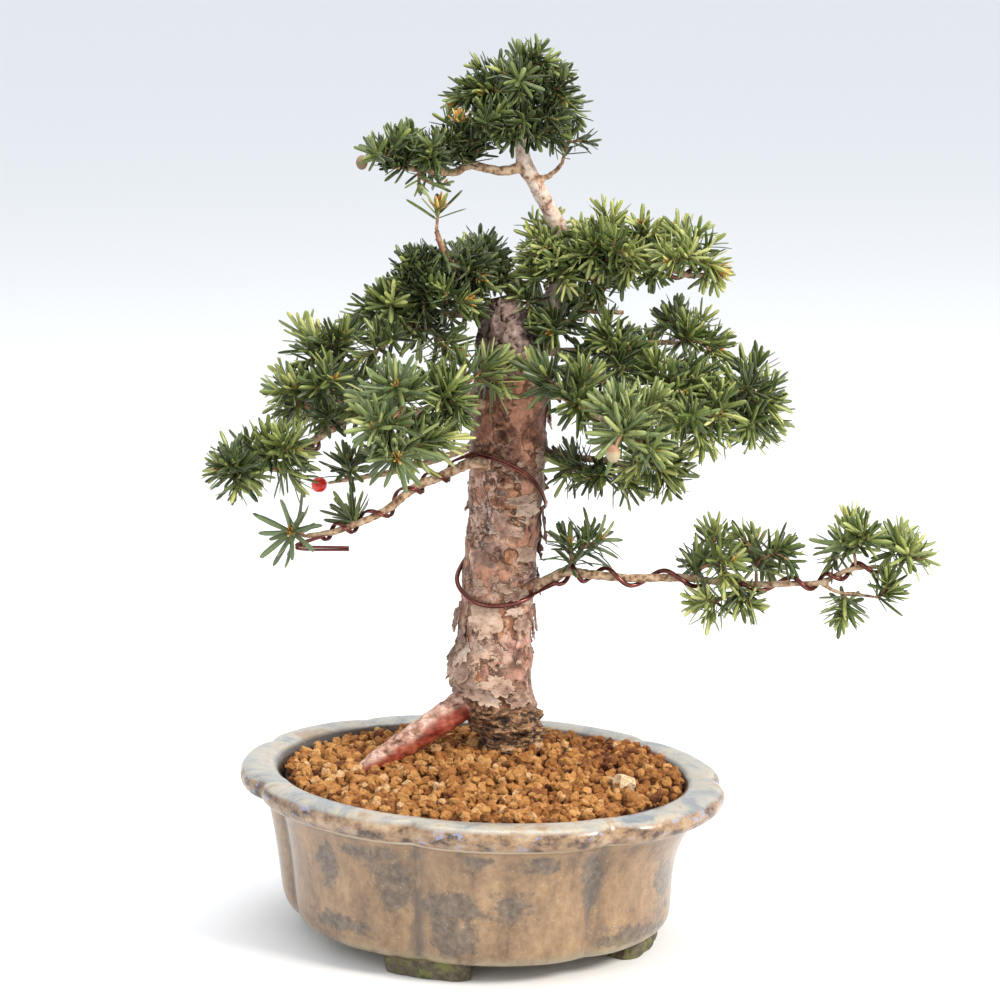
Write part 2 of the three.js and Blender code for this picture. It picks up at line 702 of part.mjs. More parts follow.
// A loop that lies on the trunk: angles in degrees round it, and the heights it starts and ends at.
function loopRoundTrunk(startAngle, endAngle, startHeight, endHeight, sag = 0) {
  const steps = Math.max(2, Math.round(Math.abs(endAngle - startAngle) / LOOP_STEP));
  return Array.from({ length: steps + 1 }, (_, k) => {
    const share = k / steps;
    const height = startHeight + (endHeight - startHeight) * share - sag * Math.sin(Math.PI * share);
    const middle = trunkAt(height);
    const angle = THREE.MathUtils.degToRad(startAngle + (endAngle - startAngle) * share);
    const reach = middle.radius + barkRelief(height, angle) + WIRE_RADIUS + GAP + 0.5;
    return vec(middle.x + reach * Math.cos(angle), middle.y + reach * Math.sin(angle), height);
  });
}

function makeWire(name, points) {
  const curve = new THREE.CatmullRomCurve3(points, false, "centripetal");
  const section = new THREE.Shape();
  for (let k = 0; k < WIRE_SIDES; k += 1) {
    const angle = (k / WIRE_SIDES) * 2 * Math.PI;
    const [x, y] = [WIRE_RADIUS * Math.cos(angle), WIRE_RADIUS * Math.sin(angle)];
    k ? section.lineTo(x, y) : section.moveTo(x, y);
  }
  const steps = points.length - 1;
  const made = new THREE.ExtrudeGeometry(section, { steps, bevelEnabled: false, extrudePath: curve });
  place(name, geometryOf(solidOf(made)), COPPER);
  keepClear(name, curve.getSpacedPoints(steps), () => WIRE_RADIUS);
}

function makeWires() {
  const { low_right, left_low, left_mid, leader, right_upper } = LIMBS;
  makeWire("wire_low", [
    ...coilRound(low_right, 10.4, 1.5, -7.5, 0.875),
    ...loopRoundTrunk(-50, -205, 157, 172, 5),
    ...loopRoundTrunk(-250, -375, 182, 200),
    ...loopRoundTrunk(-395, -500, 208, 221),
    ...coilRound(left_low, 1.2, 6.4, 4.65, 0.1),
    vec(-84, -22, 190),
    vec(-60, -21, 189),
  ]);
  makeWire("wire_left_mid", [
    ...loopRoundTrunk(-60, -130, 266, 258),
    ...coilRound(left_mid, 1.5, 10, 6, 0.85),
  ]);
  makeWire("wire_right_upper", [
    ...coilRound(leader, 1.2, 2.8, 1.3, 0.75),
    ...coilRound(right_upper, 0.8, 6, 3.4, 0.5),
  ]);
}

// Foliage

// Shortest distance between two straight pieces.
function distanceBetween(a, b) {
  const alongA = a.to.clone().sub(a.from);
  const alongB = b.to.clone().sub(b.from);
  const between = a.from.clone().sub(b.from);
  const aa = alongA.lengthSq();
  const bb = alongB.lengthSq();
  const ab = alongA.dot(alongB);
  const ca = alongA.dot(between);
  const cb = alongB.dot(between);
  const clamp = (value) => Math.min(1, Math.max(0, value));
  const spread = aa * bb - ab * ab;
  let shareA = spread > 1e-6 ? clamp((ab * cb - ca * bb) / spread) : 0;
  let shareB = (ab * shareA + cb) / bb;
  if (shareB < 0 || shareB > 1) {
    shareB = clamp(shareB);
    shareA = clamp((ab * shareB - ca) / aa);
  }
  return alongA.multiplyScalar(shareA).add(between).distanceTo(alongB.multiplyScalar(shareB));
}

function isClear(from, to, radius, ignored) {
  const piece = { from, to };
  return capsules.every(
    (other) =>
      ignored(other) ||
      other.from.distanceTo(from) > FAR_APART ||
      distanceBetween(piece, other) > radius + other.radius + GAP,
  );
}

// Places along the branches where a twig may leave: the point and the branch's direction there.
function budPlaces() {
  return Object.entries(LIMBS).flatMap(([name, limb]) => {
    if (name === "root") return [];
    const places = [];
    for (let i = 1; i < limb.length; i += 1) {
      const [from, to] = [limbPoint(limb[i - 1]), limbPoint(limb[i])];
      const parts = Math.max(1, Math.round(from.distanceTo(to) / BUD_SPACING));
      for (let k = 1; k <= parts; k += 1) {
        const share = k / parts;
        places.push({
          at: from.clone().lerp(to, share),
          along: to.clone().sub(from).normalize(),
          atEnd: i === limb.length - 1 && k === parts,
        });
      }
    }
    return places.filter(({ at }) => {
      const trunk = trunkAt(Math.min(at.z, STUMP_TOP));
      return Math.hypot(at.x - trunk.x, at.y - trunk.y) > trunk.radius + 4;
    });
  });
}

// A twig leaves its branch square to it, just off the bark, and bends round to the tip.
function twigFromBranch(place, tip) {
  const towards = tip.clone().sub(place.at);
  const straightening = place.atEnd ? 0.2 : 1;
  const square = towards.clone().addScaledVector(place.along, -towards.dot(place.along) * straightening);
  square.normalize();
  const offset = barkDistance(place.at, square, TWIG_RADIUS) + GAP + TWIG_SEAT;
  const start = place.at.clone().addScaledVector(square, offset);
  return bendTo(start, square, tip);
}

function bendTo(start, leaving, tip) {
  const reach = start.distanceTo(tip);
  const elbow = start.clone().lerp(tip, 0.25).addScaledVector(leaving, reach * 0.25);
  return new THREE.QuadraticBezierCurve3(start, elbow, tip);
}

// The needle that ends a shoot goes straight on from its tip.
const endOf = (curve) => curve.getTangent(1).multiplyScalar(END_NEEDLE).add(curve.getPoint(1));

function keepShootClear(name, curve) {
  keepClear(name, [...curve.getPoints(TWIG_PARTS), endOf(curve)], () => TWIG_RADIUS);
}

function twigIsClear(curve, ignored) {
  const points = [...curve.getPoints(TWIG_PARTS * 2), endOf(curve)];
  return points.slice(1).every((to, i) =>
    isClear(points[i], to, TWIG_RADIUS, (other) => ignored(other) || (other.owner === "tree" && i < 2)),
  );
}

// The first shoot of a spray grows from a branch, the others from the first one's twig.
// A shoot with no clear way to its tip isn't grown.
function layTwigs(name, tips, places) {
  const [firstTip, ...otherTips] = tips.map(limbPoint);
  const [shortest, longest] = TWIG_REACH;
  let main;
  const near = places
    .map((place) => ({ place, reach: place.at.distanceTo(firstTip) }))
    .filter(({ reach }) => reach > shortest && reach < longest)
    .sort((a, b) => a.reach - b.reach);
  near.some(({ place }) => {
    main = twigFromBranch(place, firstTip);
    return twigIsClear(main, () => false);
  });
  keepShootClear(name, main);
  const bare = Math.max(0.1, 1 - (LEAFY_LENGTH + 1) / main.getLength());
  const forks = Array.from({ length: FORK_PLACES }, (_, k) => 0.1 + (k / (FORK_PLACES - 1)) * (bare - 0.1));
  const sides = otherTips.map((tip) => {
    const side = forks
      .map((share) => ({ at: main.getPoint(share), along: main.getTangent(share) }))
      .sort((a, b) => a.at.distanceTo(tip) - b.at.distanceTo(tip))
      .map(({ at, along }) => bendTo(at, tip.clone().sub(at).normalize().lerp(along, 0.3).normalize(), tip))
      .find((curve) => twigIsClear(curve, (other) => other.owner === name));
    if (side) keepShootClear(name, side);
    return side;
  });
  return [main, ...sides.filter(Boolean)];
}

// A flat needle with a ridge, drawn out of one four-cornered cell of the shoot's skin.
// It is left out if none of its tries is clear of everything else.
function growNeedle(skin, cell, shoot, axis, axisPoint, lean, draw) {
  const root = meanOf(cell.map((k) => skin.points[k]));
  const outward = root.clone().sub(axisPoint);
  outward.addScaledVector(axis, -outward.dot(axis)).normalize();
  const sideways = axis.clone().cross(outward);
  const [nearRadius, farRadius] = NEEDLE_CLEARANCE;
  const ownShoot = (other) => other.owner === shoot.name && other.shoot === shoot.index;
  const stems = (other) => !(ownShoot(other) && other.needle);

  for (let attempt = 0; attempt < NEEDLE_TRIES; attempt += 1) {
    const wander = NEEDLE_WANDER * (1 + attempt / 2);
    const swing = (draw() - 0.5) * 2 * wander;
    const rise = lean + (draw() - 0.5) * 2 * wander;
    const length = NEEDLE_LENGTH * (0.9 + 0.2 * draw()) * (attempt > NEEDLE_TRIES / 2 ? 0.8 : 1);
    const heading = outward
      .clone()
      .multiplyScalar(Math.cos(rise) * Math.cos(swing))
      .addScaledVector(sideways, Math.cos(rise) * Math.sin(swing))
      .addScaledVector(axis, Math.sin(rise));
    const blade = sideways.clone().addScaledVector(heading, -heading.dot(sideways)).normalize();
    const face = heading.clone().cross(blade);
    const middle = root.clone().addScaledVector(heading, length * 0.7).addScaledVector(face, -0.5);
    const tip = root.clone().addScaledVector(heading, length).addScaledVector(face, 0.9);
    const isClearFrom = (start, ignored) =>
      isClear(root.clone().addScaledVector(heading, start), middle, nearRadius, ignored) &&
      isClear(middle, tip, farRadius, ignored);
    const isOffBranches = isClear(root, middle, nearRadius, (other) => other.owner !== "tree");
    if (!isOffBranches || !isClearFrom(3, ownShoot) || !isClearFrom(6, stems)) continue;

    const [left, right, ridge, end] = skin.ring([
      middle.clone().addScaledVector(blade, -NEEDLE_WIDTH / 2),
      middle.clone().addScaledVector(blade, NEEDLE_WIDTH / 2),
      middle.clone().addScaledVector(face, NEEDLE_RIDGE),
      tip,
    ]);
    const [a, b, c, d] = cell;
    skin.faces.push([a, b, right], [a, right, left], [b, c, right], [c, ridge, right], [c, d, ridge]);
    skin.faces.push([d, a, left], [d, left, ridge]);
    skin.faces.push([right, ridge, end], [ridge, left, end], [left, right, end]);
    const owner = { owner: shoot.name, shoot: shoot.index, needle: true };
    capsules.push({ ...owner, from: root, to: middle, radius: nearRadius });
    capsules.push({ ...owner, from: middle, to: tip, radius: farRadius });
    return true;
  }
  return false;
}

// One shoot: a bare stem, rings of needles round its last part, and a bud.
function shootSolid(curve, shoot, draw) {
  const length = curve.getLength();
  const leafStart = Math.max(0.3, 1 - LEAFY_LENGTH / length);
  const shares = length > LONG_TWIG ? [0, leafStart * 0.5, leafStart] : [0, leafStart];
  const firstLeafy = shares.length;
  for (let ring = 1; ring <= NEEDLE_RINGS; ring += 1) {
    shares.push(leafStart + ((1 - leafStart) * ring) / NEEDLE_RINGS);
  }
  const firstTurn = draw() * 2;
  const points = shares.map((share) => curve.getPoint(share));
  const turnAt = (i) => firstTurn + Math.max(0, i - firstLeafy + 1) * 0.6;
  const skin = new Skin();
  const radiusAt = (i) => (i || shoot.index === 0 ? TWIG_RADIUS : TWIG_RADIUS * 0.6);
  const rings = ringsAlong(points, 3, radiusAt, turnAt).map((ring) => skin.ring(ring));
  skin.close(rings[0], points[0], false);
  for (let i = 1; i < rings.length; i += 1) {
    if (i < firstLeafy) {
      skin.wall(rings[i - 1], rings[i]);
      continue;
    }
    const axis = points[i].clone().sub(points[i - 1]).normalize();
    const axisPoint = points[i].clone().lerp(points[i - 1], 0.5);
    for (let k = 0; k < 3; k += 1) {
      const next = (k + 1) % 3;
      const cell = [rings[i - 1][k], rings[i - 1][next], rings[i][next], rings[i][k]];
      const lean = NEEDLE_LEAN[i - firstLeafy];
      const isSpare = i === rings.length - 1 && k === 2;
      if (isSpare || !growNeedle(skin, cell, shoot, axis, axisPoint, lean, draw)) {
        skin.faces.push([cell[0], cell[1], cell[2]], [cell[0], cell[2], cell[3]]);
      }
    }
  }
  skin.close(rings[rings.length - 1], endOf(curve), true);
  return solidOf(skin.geometry());
}

// An unripe seed and its stalk, which grows from the tip of its spray's first shoot.
function seedSolid(from, middle) {
  const seed = new THREE.SphereGeometry(SEED_RADIUS, 7, 5);
  seed.translate(middle.x, middle.y, middle.z);
  return tube([from, middle], 3, () => 0.8).add(solidOf(seed));
}

// The aril is a fleshy cup, its mouth below, with the seed's tip in it.
function makeAril() {
  const profile = [[0, -0.4], [0.38, -0.5], [0.66, -0.8], [1, -0.1], [0.72, 0.72], [0, 1]];
  const cup = new THREE.LatheGeometry(
    profile.map(([out, up]) => new THREE.Vector2(out * ARIL_RADIUS, up * ARIL_RADIUS)),
    8,
  );
  cup.rotateX(Math.PI / 2);
  cup.translate(...ARIL_AT);
  place("aril", geometryOf(solidOf(cup)), ARIL_RED);
  const middle = limbPoint(ARIL_AT);
  keepClear("aril", [middle, middle.clone().addScaledVector(UP, 0.1)], () => ARIL_RADIUS);
}

function makeFoliage() {
  [TRUNK, ...Object.values(LIMBS)].forEach((limb) => {
    keepClear("tree", limb.map(limbPoint), (i) => limb[i][3]);
  });
  const places = budPlaces();
  const sprays = Object.entries(SPRAYS)
    .flatMap(([branch, list]) => list.map((tips, i) => ({ name: `spray_${branch}_${i + 1}`, tips })))
    .map(({ name, tips }) => ({ name, shoots: layTwigs(name, tips, places) }));

  const seeds = Object.entries(SEEDS).map(([name, at]) => {
    const stalkStart = sprays.find((spray) => spray.name === name).shoots[0].getPoint(1);
    keepClear(name, [stalkStart, limbPoint(at)], () => SEED_RADIUS);
    return { name, solid: seedSolid(stalkStart, limbPoint(at)) };
  });

  const draw = seededDraw(5);
  sprays.forEach(({ name, shoots }) => {
    const solids = shoots.map((curve, index) => shootSolid(curve, { name, index }, draw));
    const ownSeeds = seeds.filter((seed) => seed.name === name).map((seed) => seed.solid);
    place(name, geometryOf(largestOf(join([...solids, ...ownSeeds]))), LEAF);
  });
}

makePot();
makeScreens();
makeSoil();
makeTree();
makeWires();
makeAril();
makeFoliage();

const box = new THREE.Box3().setFromObject(bonsai);
bonsai.position.set(-(box.min.x + box.max.x) / 2, -(box.min.y + box.max.y) / 2, -box.min.z);

export default bonsai;
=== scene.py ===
"""Looks of a Japanese yew bonsai in a lobed oval stoneware pot.

Sizes are written in millimetres from the middle of the pot's footprint, on the plane that its feet
stand on: x to the right, y to the back, z up. place() turns them into metres in the row's frame.
"""

import math
import random

import bpy
import numpy as np
from mathutils import Euler, Matrix, Vector, kdtree, noise


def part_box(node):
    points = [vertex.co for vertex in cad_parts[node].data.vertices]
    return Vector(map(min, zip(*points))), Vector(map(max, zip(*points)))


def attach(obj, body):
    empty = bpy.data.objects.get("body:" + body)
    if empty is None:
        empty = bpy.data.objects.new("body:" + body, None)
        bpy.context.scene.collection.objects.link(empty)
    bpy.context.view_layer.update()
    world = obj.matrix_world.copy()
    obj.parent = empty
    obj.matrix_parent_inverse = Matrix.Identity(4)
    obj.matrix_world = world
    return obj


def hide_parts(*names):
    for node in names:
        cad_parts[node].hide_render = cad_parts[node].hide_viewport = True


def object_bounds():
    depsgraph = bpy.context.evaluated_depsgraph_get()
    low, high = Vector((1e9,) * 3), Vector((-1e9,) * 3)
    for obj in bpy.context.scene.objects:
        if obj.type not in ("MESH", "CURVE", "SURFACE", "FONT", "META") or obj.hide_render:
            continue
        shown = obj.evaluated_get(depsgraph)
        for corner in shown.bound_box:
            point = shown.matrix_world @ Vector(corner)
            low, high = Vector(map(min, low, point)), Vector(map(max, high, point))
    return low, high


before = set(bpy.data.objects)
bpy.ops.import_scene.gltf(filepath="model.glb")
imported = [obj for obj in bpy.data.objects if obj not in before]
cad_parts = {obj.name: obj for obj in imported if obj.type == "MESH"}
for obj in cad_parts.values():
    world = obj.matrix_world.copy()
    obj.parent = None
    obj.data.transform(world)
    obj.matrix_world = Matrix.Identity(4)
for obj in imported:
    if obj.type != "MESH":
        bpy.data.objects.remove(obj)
CAD_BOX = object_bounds()
MM = 0.001


def pot_middle():
    """The drain holes' screens lie on both sides of the pot's middle, equally far from it."""
    corners = [corner for side in ("left", "right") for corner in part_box(f"drain_screen_{side}")]
    middle = sum(corners, Vector()) / len(corners)
    middle.z = 0
    return middle


POT_MIDDLE = pot_middle()


def place(x, y, z):
    return Vector((x, y, z)) * MM + POT_MIDDLE


# Measures of the pot, trunk, limbs and shoots, as in the solids or near them, and finer ones for the looks

LIP_LONG = 120
LIP_SHORT = 96
OVAL_TURN = math.radians(-28)
LOBE_ENDS = [-170, -110, -56, -7, 32, 78, 124, 153]
POT_BOTTOM = 8
FOOT_LENGTH = 46
FOOT_WIDTH = 9
FOOT_ANGLES = [-110, -20, 72, 160]
FOOT_SHARES = (0.73, 0.82)
SCALLOP_DEPTH = 1.2
LOBE_POINTS = 28
WALL_INSET = 0.25
WALL_WOBBLE = 0.15
# How far the pot's right end leans in at mid-height, the middle of that end and how far it spreads.
LEAN_IN = 0.045
LEAN_MIDDLE = -16
LEAN_SPREAD = 34

# Height, shares of the lip's long and short half axes, and depth of the creases between the lobes.
POT_WALL = [
    (8, 0.72, 0.79, 0.03),
    (9, 0.755, 0.835, 0.035),
    (12, 0.785, 0.87, 0.04),
    (16, 0.803, 0.884, 0.046),
    (21, 0.814, 0.889, 0.05),
    (30, 0.824, 0.894, 0.05),
    (40, 0.835, 0.9, 0.05),
    (50, 0.85, 0.91, 0.05),
    (58, 0.864, 0.919, 0.05),
    (62.5, 0.876, 0.925, 0.048),
    (65.2, 0.888, 0.933, 0.045),
    (66.6, 0.925, 0.95, 0.04),
    (67.6, 0.965, 0.967, 0.036),
    (69.5, 0.987, 0.985, 0.035),
    (72, 0.999, 0.998, 0.035),
    (74.6, 0.998, 0.996, 0.035),
    (77, 0.985, 0.983, 0.034),
    (78.6, 0.962, 0.96, 0.028),
    (79, 0.93, 0.93, 0.02),
    (78.8, 0.89, 0.89, 0.012),
    (78.4, 0.86, 0.86, 0.008),
    (77, 0.838, 0.84, 0.003),
    (73, 0.822, 0.826, 0),
    (60, 0.795, 0.817, 0),
    (40, 0.76, 0.808, 0),
    (24, 0.73, 0.8, 0),
    (15, 0.68, 0.74, 0),
]

# Middle and radius of the trunk, and of each limb from its foot to its end.
TRUNK = [
    (15, 28, 62, 15), (15, 27, 78, 17.5), (14, 26, 92, 17.5), (10, 25, 105, 18), (6, 25, 116, 19.5),
    (7, 25, 135, 17.5), (8, 25, 154, 17.5), (10, 25, 176, 17), (12, 25, 203, 17.5), (13, 25, 223, 18),
    (14, 25, 244, 18), (14, 26, 257, 17.5), (13, 27, 274, 15), (12, 28, 285, 12.5), (9, 29, 297, 7),
]
LIMBS = {
    "root": [
        (4, 22, 110, 7), (-9, 19, 104, 6.4), (-24, 16, 94, 5.8), (-37, 13, 86, 5), (-49, 10, 79, 4.2),
        (-58, 8, 72, 3),
    ],
    "leader": [
        (22, 30, 268, 8), (30, 32, 287, 6), (36, 34, 300, 5), (40, 36, 312, 4.5), (40, 38, 321, 4),
        (36, 38, 331, 4), (25, 36, 352, 3.6), (21, 35, 359, 4), (19, 34, 370, 2.8), (20, 33, 391, 1.6),
    ],
    "apex_left": [
        (18, 34, 358, 2.4), (9, 32, 357, 2.3), (-5, 27, 360, 2), (-12, 24, 357, 1.9), (-28, 18, 359, 1.5),
        (-42, 14, 361, 1.1),
    ],
    "apex_right": [(26, 36, 353, 1.6), (32, 36, 354, 1.4), (38, 35, 360, 1.1)],
    "right_upper": [
        (40, 36, 312, 3.5), (47, 30, 316, 3), (56, 25, 319, 2.7), (65, 22, 318, 2.5), (76, 18, 316, 2.2),
        (87, 14, 314, 1.9), (96, 10, 311, 1.5), (104, 7, 312, 1.1),
    ],
    "right_upper_low": [(36, 34, 299, 2), (46, 42, 291, 1.7), (58, 47, 289, 1.4), (68, 50, 288, 1.1)],
    "left_upper": [
        (32, 34, 293, 2.9), (21, 46, 301, 2.6), (9, 44, 302, 2.4), (-2, 33, 301, 2.2), (-9, 24, 299, 2),
    ],
    "left_upright": [(-9, 22, 299, 2.2), (-11, 16, 309, 2), (-16, 11, 320, 1.7), (-20, 9, 332, 1.3)],
    "left_upper_low": [(6, 30, 289, 2.4), (-6, 30, 290, 1.9), (-18, 29, 291, 1.5), (-28, 27, 293, 1.1)],
    "left_mid": [
        (4, 22, 252, 4), (-8, 10, 248, 3.5), (-16, 0, 247, 3), (-26, -8, 247, 2.8), (-37, -4, 248, 2.6),
        (-47, 4, 250, 2.5), (-60, 8, 245, 2.3), (-68, 4, 241, 2.2), (-76, 0, 236, 2.1), (-86, -8, 227, 1.7),
        (-97, -13, 225, 1.4), (-108, -16, 224, 1.1),
    ],
    "left_front": [
        (4, 16, 250, 2.8), (-6, -4, 253, 2.4), (-14, -18, 256, 2.1), (-25, -30, 255, 1.8),
        (-37, -42, 246, 1.3),
    ],
    "left_back": [(6, 34, 246, 2.8), (-10, 50, 248, 2.4), (-34, 54, 247, 1.9), (-60, 46, 242, 1.3)],
    "left_low": [
        (0, 22, 225, 2.8), (-9, 12, 221, 2.4), (-21, 4, 217, 2.2), (-31, 0, 213, 2.1), (-44, -8, 204, 1.9),
        (-59, -12, 198, 1.7), (-69, -14, 195, 1.6), (-80, -17, 194, 1.3),
    ],
    "left_low_stub": [(-12, 9, 220, 2.2), (-4, 6.5, 223.5, 2.5), (3, 7.5, 223.5, 2.7), (8, 11, 222, 2.4)],
    "left_berry": [
        (2, 30, 230, 2.1), (-12, 36, 223, 1.9), (-38, 34, 215, 1.6), (-53, 30, 213, 1.4),
        (-72.2, 25, 210.6, 0.9),
    ],
    "right_mid": [
        (25, 25, 252, 4), (37, 18, 255, 3.5), (51, 10, 255, 3), (65, 4, 254, 2.6), (79, 0, 254, 2.4),
        (94, -2, 254, 2.1), (109, -2, 255, 1.8), (122, 0, 254, 1.4),
    ],
    "right_front": [
        (20, 16, 258, 2.8), (33, -8, 260, 2.5), (45, -24, 257, 2.2), (57, -38, 252, 1.8),
        (70, -50, 244, 1.3),
    ],
    "right_high": [
        (22, 30, 276, 2.8), (35, 26, 273, 2.4), (49, 20, 274, 2.1), (64, 16, 276, 1.8), (79, 14, 279, 1.5),
        (93, 14, 279, 1.2),
    ],
    "right_back": [(22, 36, 250, 2.8), (40, 52, 253, 2.4), (62, 58, 254, 1.9), (90, 50, 254, 1.3)],
    "right_low": [
        (24, 26, 231, 2.3), (36, 24, 224, 1.9), (56, 14, 224, 1.7), (67, 8, 223, 1.6), (79, 2, 225, 1.3),
    ],
    "low_right": [
        (20, 23, 158, 3.6), (30, 14, 165, 3), (41, 8, 172, 2.4), (50, 6, 171, 2.2), (70, 2, 170, 2),
        (95, -2, 171, 1.9), (120, -6, 169, 1.7), (145, -10, 170, 1.5), (158, -11, 171, 1.4),
        (170, -12, 177, 1.3), (183, -14, 179, 1.1), (193, -16, 180, 1),
    ],
    "low_right_under": [
        (157, -11, 171, 1.1), (165, -14, 167, 1), (174, -18, 167, 0.9), (182, -21, 166, 0.8),
    ],
}

# Tips of the shoots, one list for each spray of the solids; the first tip ends the spray's own twig.
SPRAYS = {
    "apex": [
        [(19, 34, 411), (18, 16, 400), (30, 26, 408)],
        [(-1, 40, 404), (1, 20, 394), (-11, 30, 389)],
        [(-9, 18, 380), (9, 14, 385)],
        [(38, 38, 400), (39, 20, 390), (45, 36, 381)],
        [(12, 54, 396), (28, 56, 388), (14, 54, 374)],
    ],
    "apex_left": [
        [(-18, 20, 372), (-24, 8, 365)],
        [(-46, 12, 367), (-36, 18, 374)],
        [(-28, 12, 351), (-17, 27, 351)],
    ],
    "left_upper": [
        [(-19, 8, 341)],
        [(-31, 14, 299), (-33, 10, 317), (-22, 2, 306), (-7, 2, 300)],
        [(-8, 28, 317), (-1, 14, 310), (-22, 22, 312)],
        [(-4, 48, 319), (2, 62, 313), (-15, 58, 308), (6, 42, 313)],
    ],
    "right_upper": [
        [(28, 50, 322), (30, 24, 321), (40, 14, 306)],
        [(52, 14, 326), (49, 40, 325), (62, 28, 331), (71, 4, 321)],
        [(58, 58, 313), (54, 46, 297)],
        [(82, 40, 324), (74, 20, 333)],
        [(97, 6, 326), (90, 20, 332), (108, 4, 315), (86, -8, 320)],
    ],
    "right_high": [
        [(40, 32, 287), (33, 12, 284)],
        [(57, 12, 284), (67, -4, 279), (65, -20, 269)],
        [(97, 8, 283), (89, 26, 288), (110, 8, 277)],
    ],
    "right_mid": [
        [(80, -14, 273), (91, -26, 262), (103, -12, 267)],
        [(134, -4, 254), (122, 16, 268), (115, -16, 264)],
        [(136, 10, 243), (122, -18, 245)],
        [(108, -36, 254), (100, -32, 240), (88, -48, 252)],
        [(72, -14, 228), (84, -10, 224), (92, 2, 219)],
        [(56, 14, 218), (71, 8, 213), (38, 14, 221)],
    ],
    "right_front": [
        [(43, -28, 258), (50, -18, 269), (23, -10, 271)],
        [(63, -63, 250), (59, -46, 259), (78, -62, 243), (77, -38, 261)],
    ],
    "right_back": [
        [(81, 58, 274), (62, 68, 267), (104, 48, 264)],
        [(118, 38, 251), (92, 60, 244)],
    ],
    "left_mid": [
        [(-118, -17, 226), (-107, -25, 223), (-101, 2, 229)],
        [(-97, -20, 241), (-83, -29, 236), (-84, -14, 219)],
        [(-91, 16, 262), (-84, -8, 262), (-66, -16, 267)],
        [(-84, 28, 283), (-76, 8, 282), (-62, 2, 285)],
        [(-58, 28, 287), (-45, 28, 295), (-40, 8, 299)],
        [(-28, 10, 281), (-54, -6, 275), (-12, 2, 276)],
    ],
    "left_front": [
        [(-37, -48, 269), (-50, -32, 260), (-46, -56, 252)],
        [(-37, -56, 238), (-26, -36, 238), (-15, -22, 241)],
        [(-13, -30, 264), (8, -8, 272)],
    ],
    "left_back": [
        [(-72, 50, 251), (-53, 62, 258), (-86, 38, 240)],
        [(-63, 24, 221)],
    ],
    "low_left": [
        [(-87, -18, 196)],
        [(-60, -8, 202)],
    ],
    "low_right": [
        [(42, 4, 186), (56, 0, 189)],
        [(102, 4, 179), (114, 8, 186), (116, -18, 183)],
        [(128, 0, 189), (139, -18, 188), (136, 8, 178)],
        [(120, -11, 161), (100, -8, 160)],
        [(170, -12, 200), (164, -4, 185), (178, -22, 193)],
        [(199, -18, 188), (190, -10, 190)],
        [(168, -15, 158)],
        [(187, -24, 169)],
    ],
}

ARIL_AT = (-75.9, 24, 210.1)
ARIL_RADIUS = 3.8
PIP_BROWN = (0.07, 0.05, 0.03)
# Middle of each unripe seed, where its stalk leaves the twig, its radius, and its shell's and cap's colours.
UNRIPE_SEEDS = [
    ((-54, 10, 363), (-46, 12, 367), 2.7, (0.22, 0.13, 0.07), (0.3, 0.2, 0.12)),
    ((59, -73, 243), (63, -63, 250), 3.2, (0.45, 0.37, 0.22), (0.3, 0.15, 0.08)),
]

# Rows of POT_WALL after this one are inside the pot, and those above the lip's foot belong to the lip.
INNER_ROW = 20
LIP_FOOT = 66.8
LIP_DENT = 1.5

# The soil's height at the rim, its rise to the trunk, its fill against the rim, and its edge on the oval.
SOIL_EDGE = 75.5
SOIL_RISE = 8
SOIL_FILL = 2.4
SOIL_TOP = (0.81, 0.82)
RING_POINTS = 96
# Distance between granules, and between their rows as a share of it.
GRANULE_PITCH = 4.6
ROW_SHARE = 0.87
GRANULE_SHIFT = 1.4
GRANULE_KINDS = 7
PALEST_GRANULE = 0.87
# Each layer of granules: its lift, the share that is kept, and the smallest and largest radius.
GRANULE_LAYERS = ((-2.6, 1.0, 2.0, 3.1), (-0.4, 0.6, 1.5, 3.0), (0.9, 0.12, 1.2, 2.4))
PALE_STONE = (66, -31)

BARK_GRAIN = 0.86
STUMP_TOP = 302
# The bark of the trunk's foot is fibrous below these heights, and its right side swells less.
CROWN_TOP = (108, 101)
DEAD_WOOD = (262, 270)
RIGHT_SLIMMING = 3.4
# Sides of the trunk and limbs as drawn, and the distance between points along a limb.
TRUNK_SIDES = 32
LIMB_SIDES = 16
LIMB_SPACING = 2.5
# Flakes that aren't listed: those round the back, and small ones in front.
BACK_FLAKES = 34
SMALL_FLAKES = 18
FLAKE_GRID = 12
FLAKE_THICKNESS = 0.6

WIRE_RADIUS = 1.1
STRAND_RADIUS = 0.62
WIRE_STAND_OFF = 1.5

TWIG_ROWS = 6
TWIG_RADIUS = 0.85
AIM_BEND = 9
GOLDEN_TURN = math.radians(137.5)
# Needles on a shoot, the length that they take up, and their lean at its tip and at its foot.
SHOOT_NEEDLES = 24
LEAFY_LENGTH = 15
SPLAY = (24, 76)
SIDE_SHOOT = (13, 10)
INNER_SHOOT = (20, 13)
# The foliage keeps this far inside the box of the solids.
ROOM_MARGIN = 0.5
# A plain bud's scales and length, and the share of the tips that have one.
PLAIN_BUD = (6, 3.2)
BUD_SHARE = 0.4
NEEDLE_THICKNESS = 0.17
NEEDLE_RIB = 0.1
# Share along a needle and its share of the full width there.
NEEDLE_ROWS = [(0, 0.36), (0.12, 0.86), (0.5, 1), (0.82, 0.94), (0.95, 0.66), (1, 0.16)]
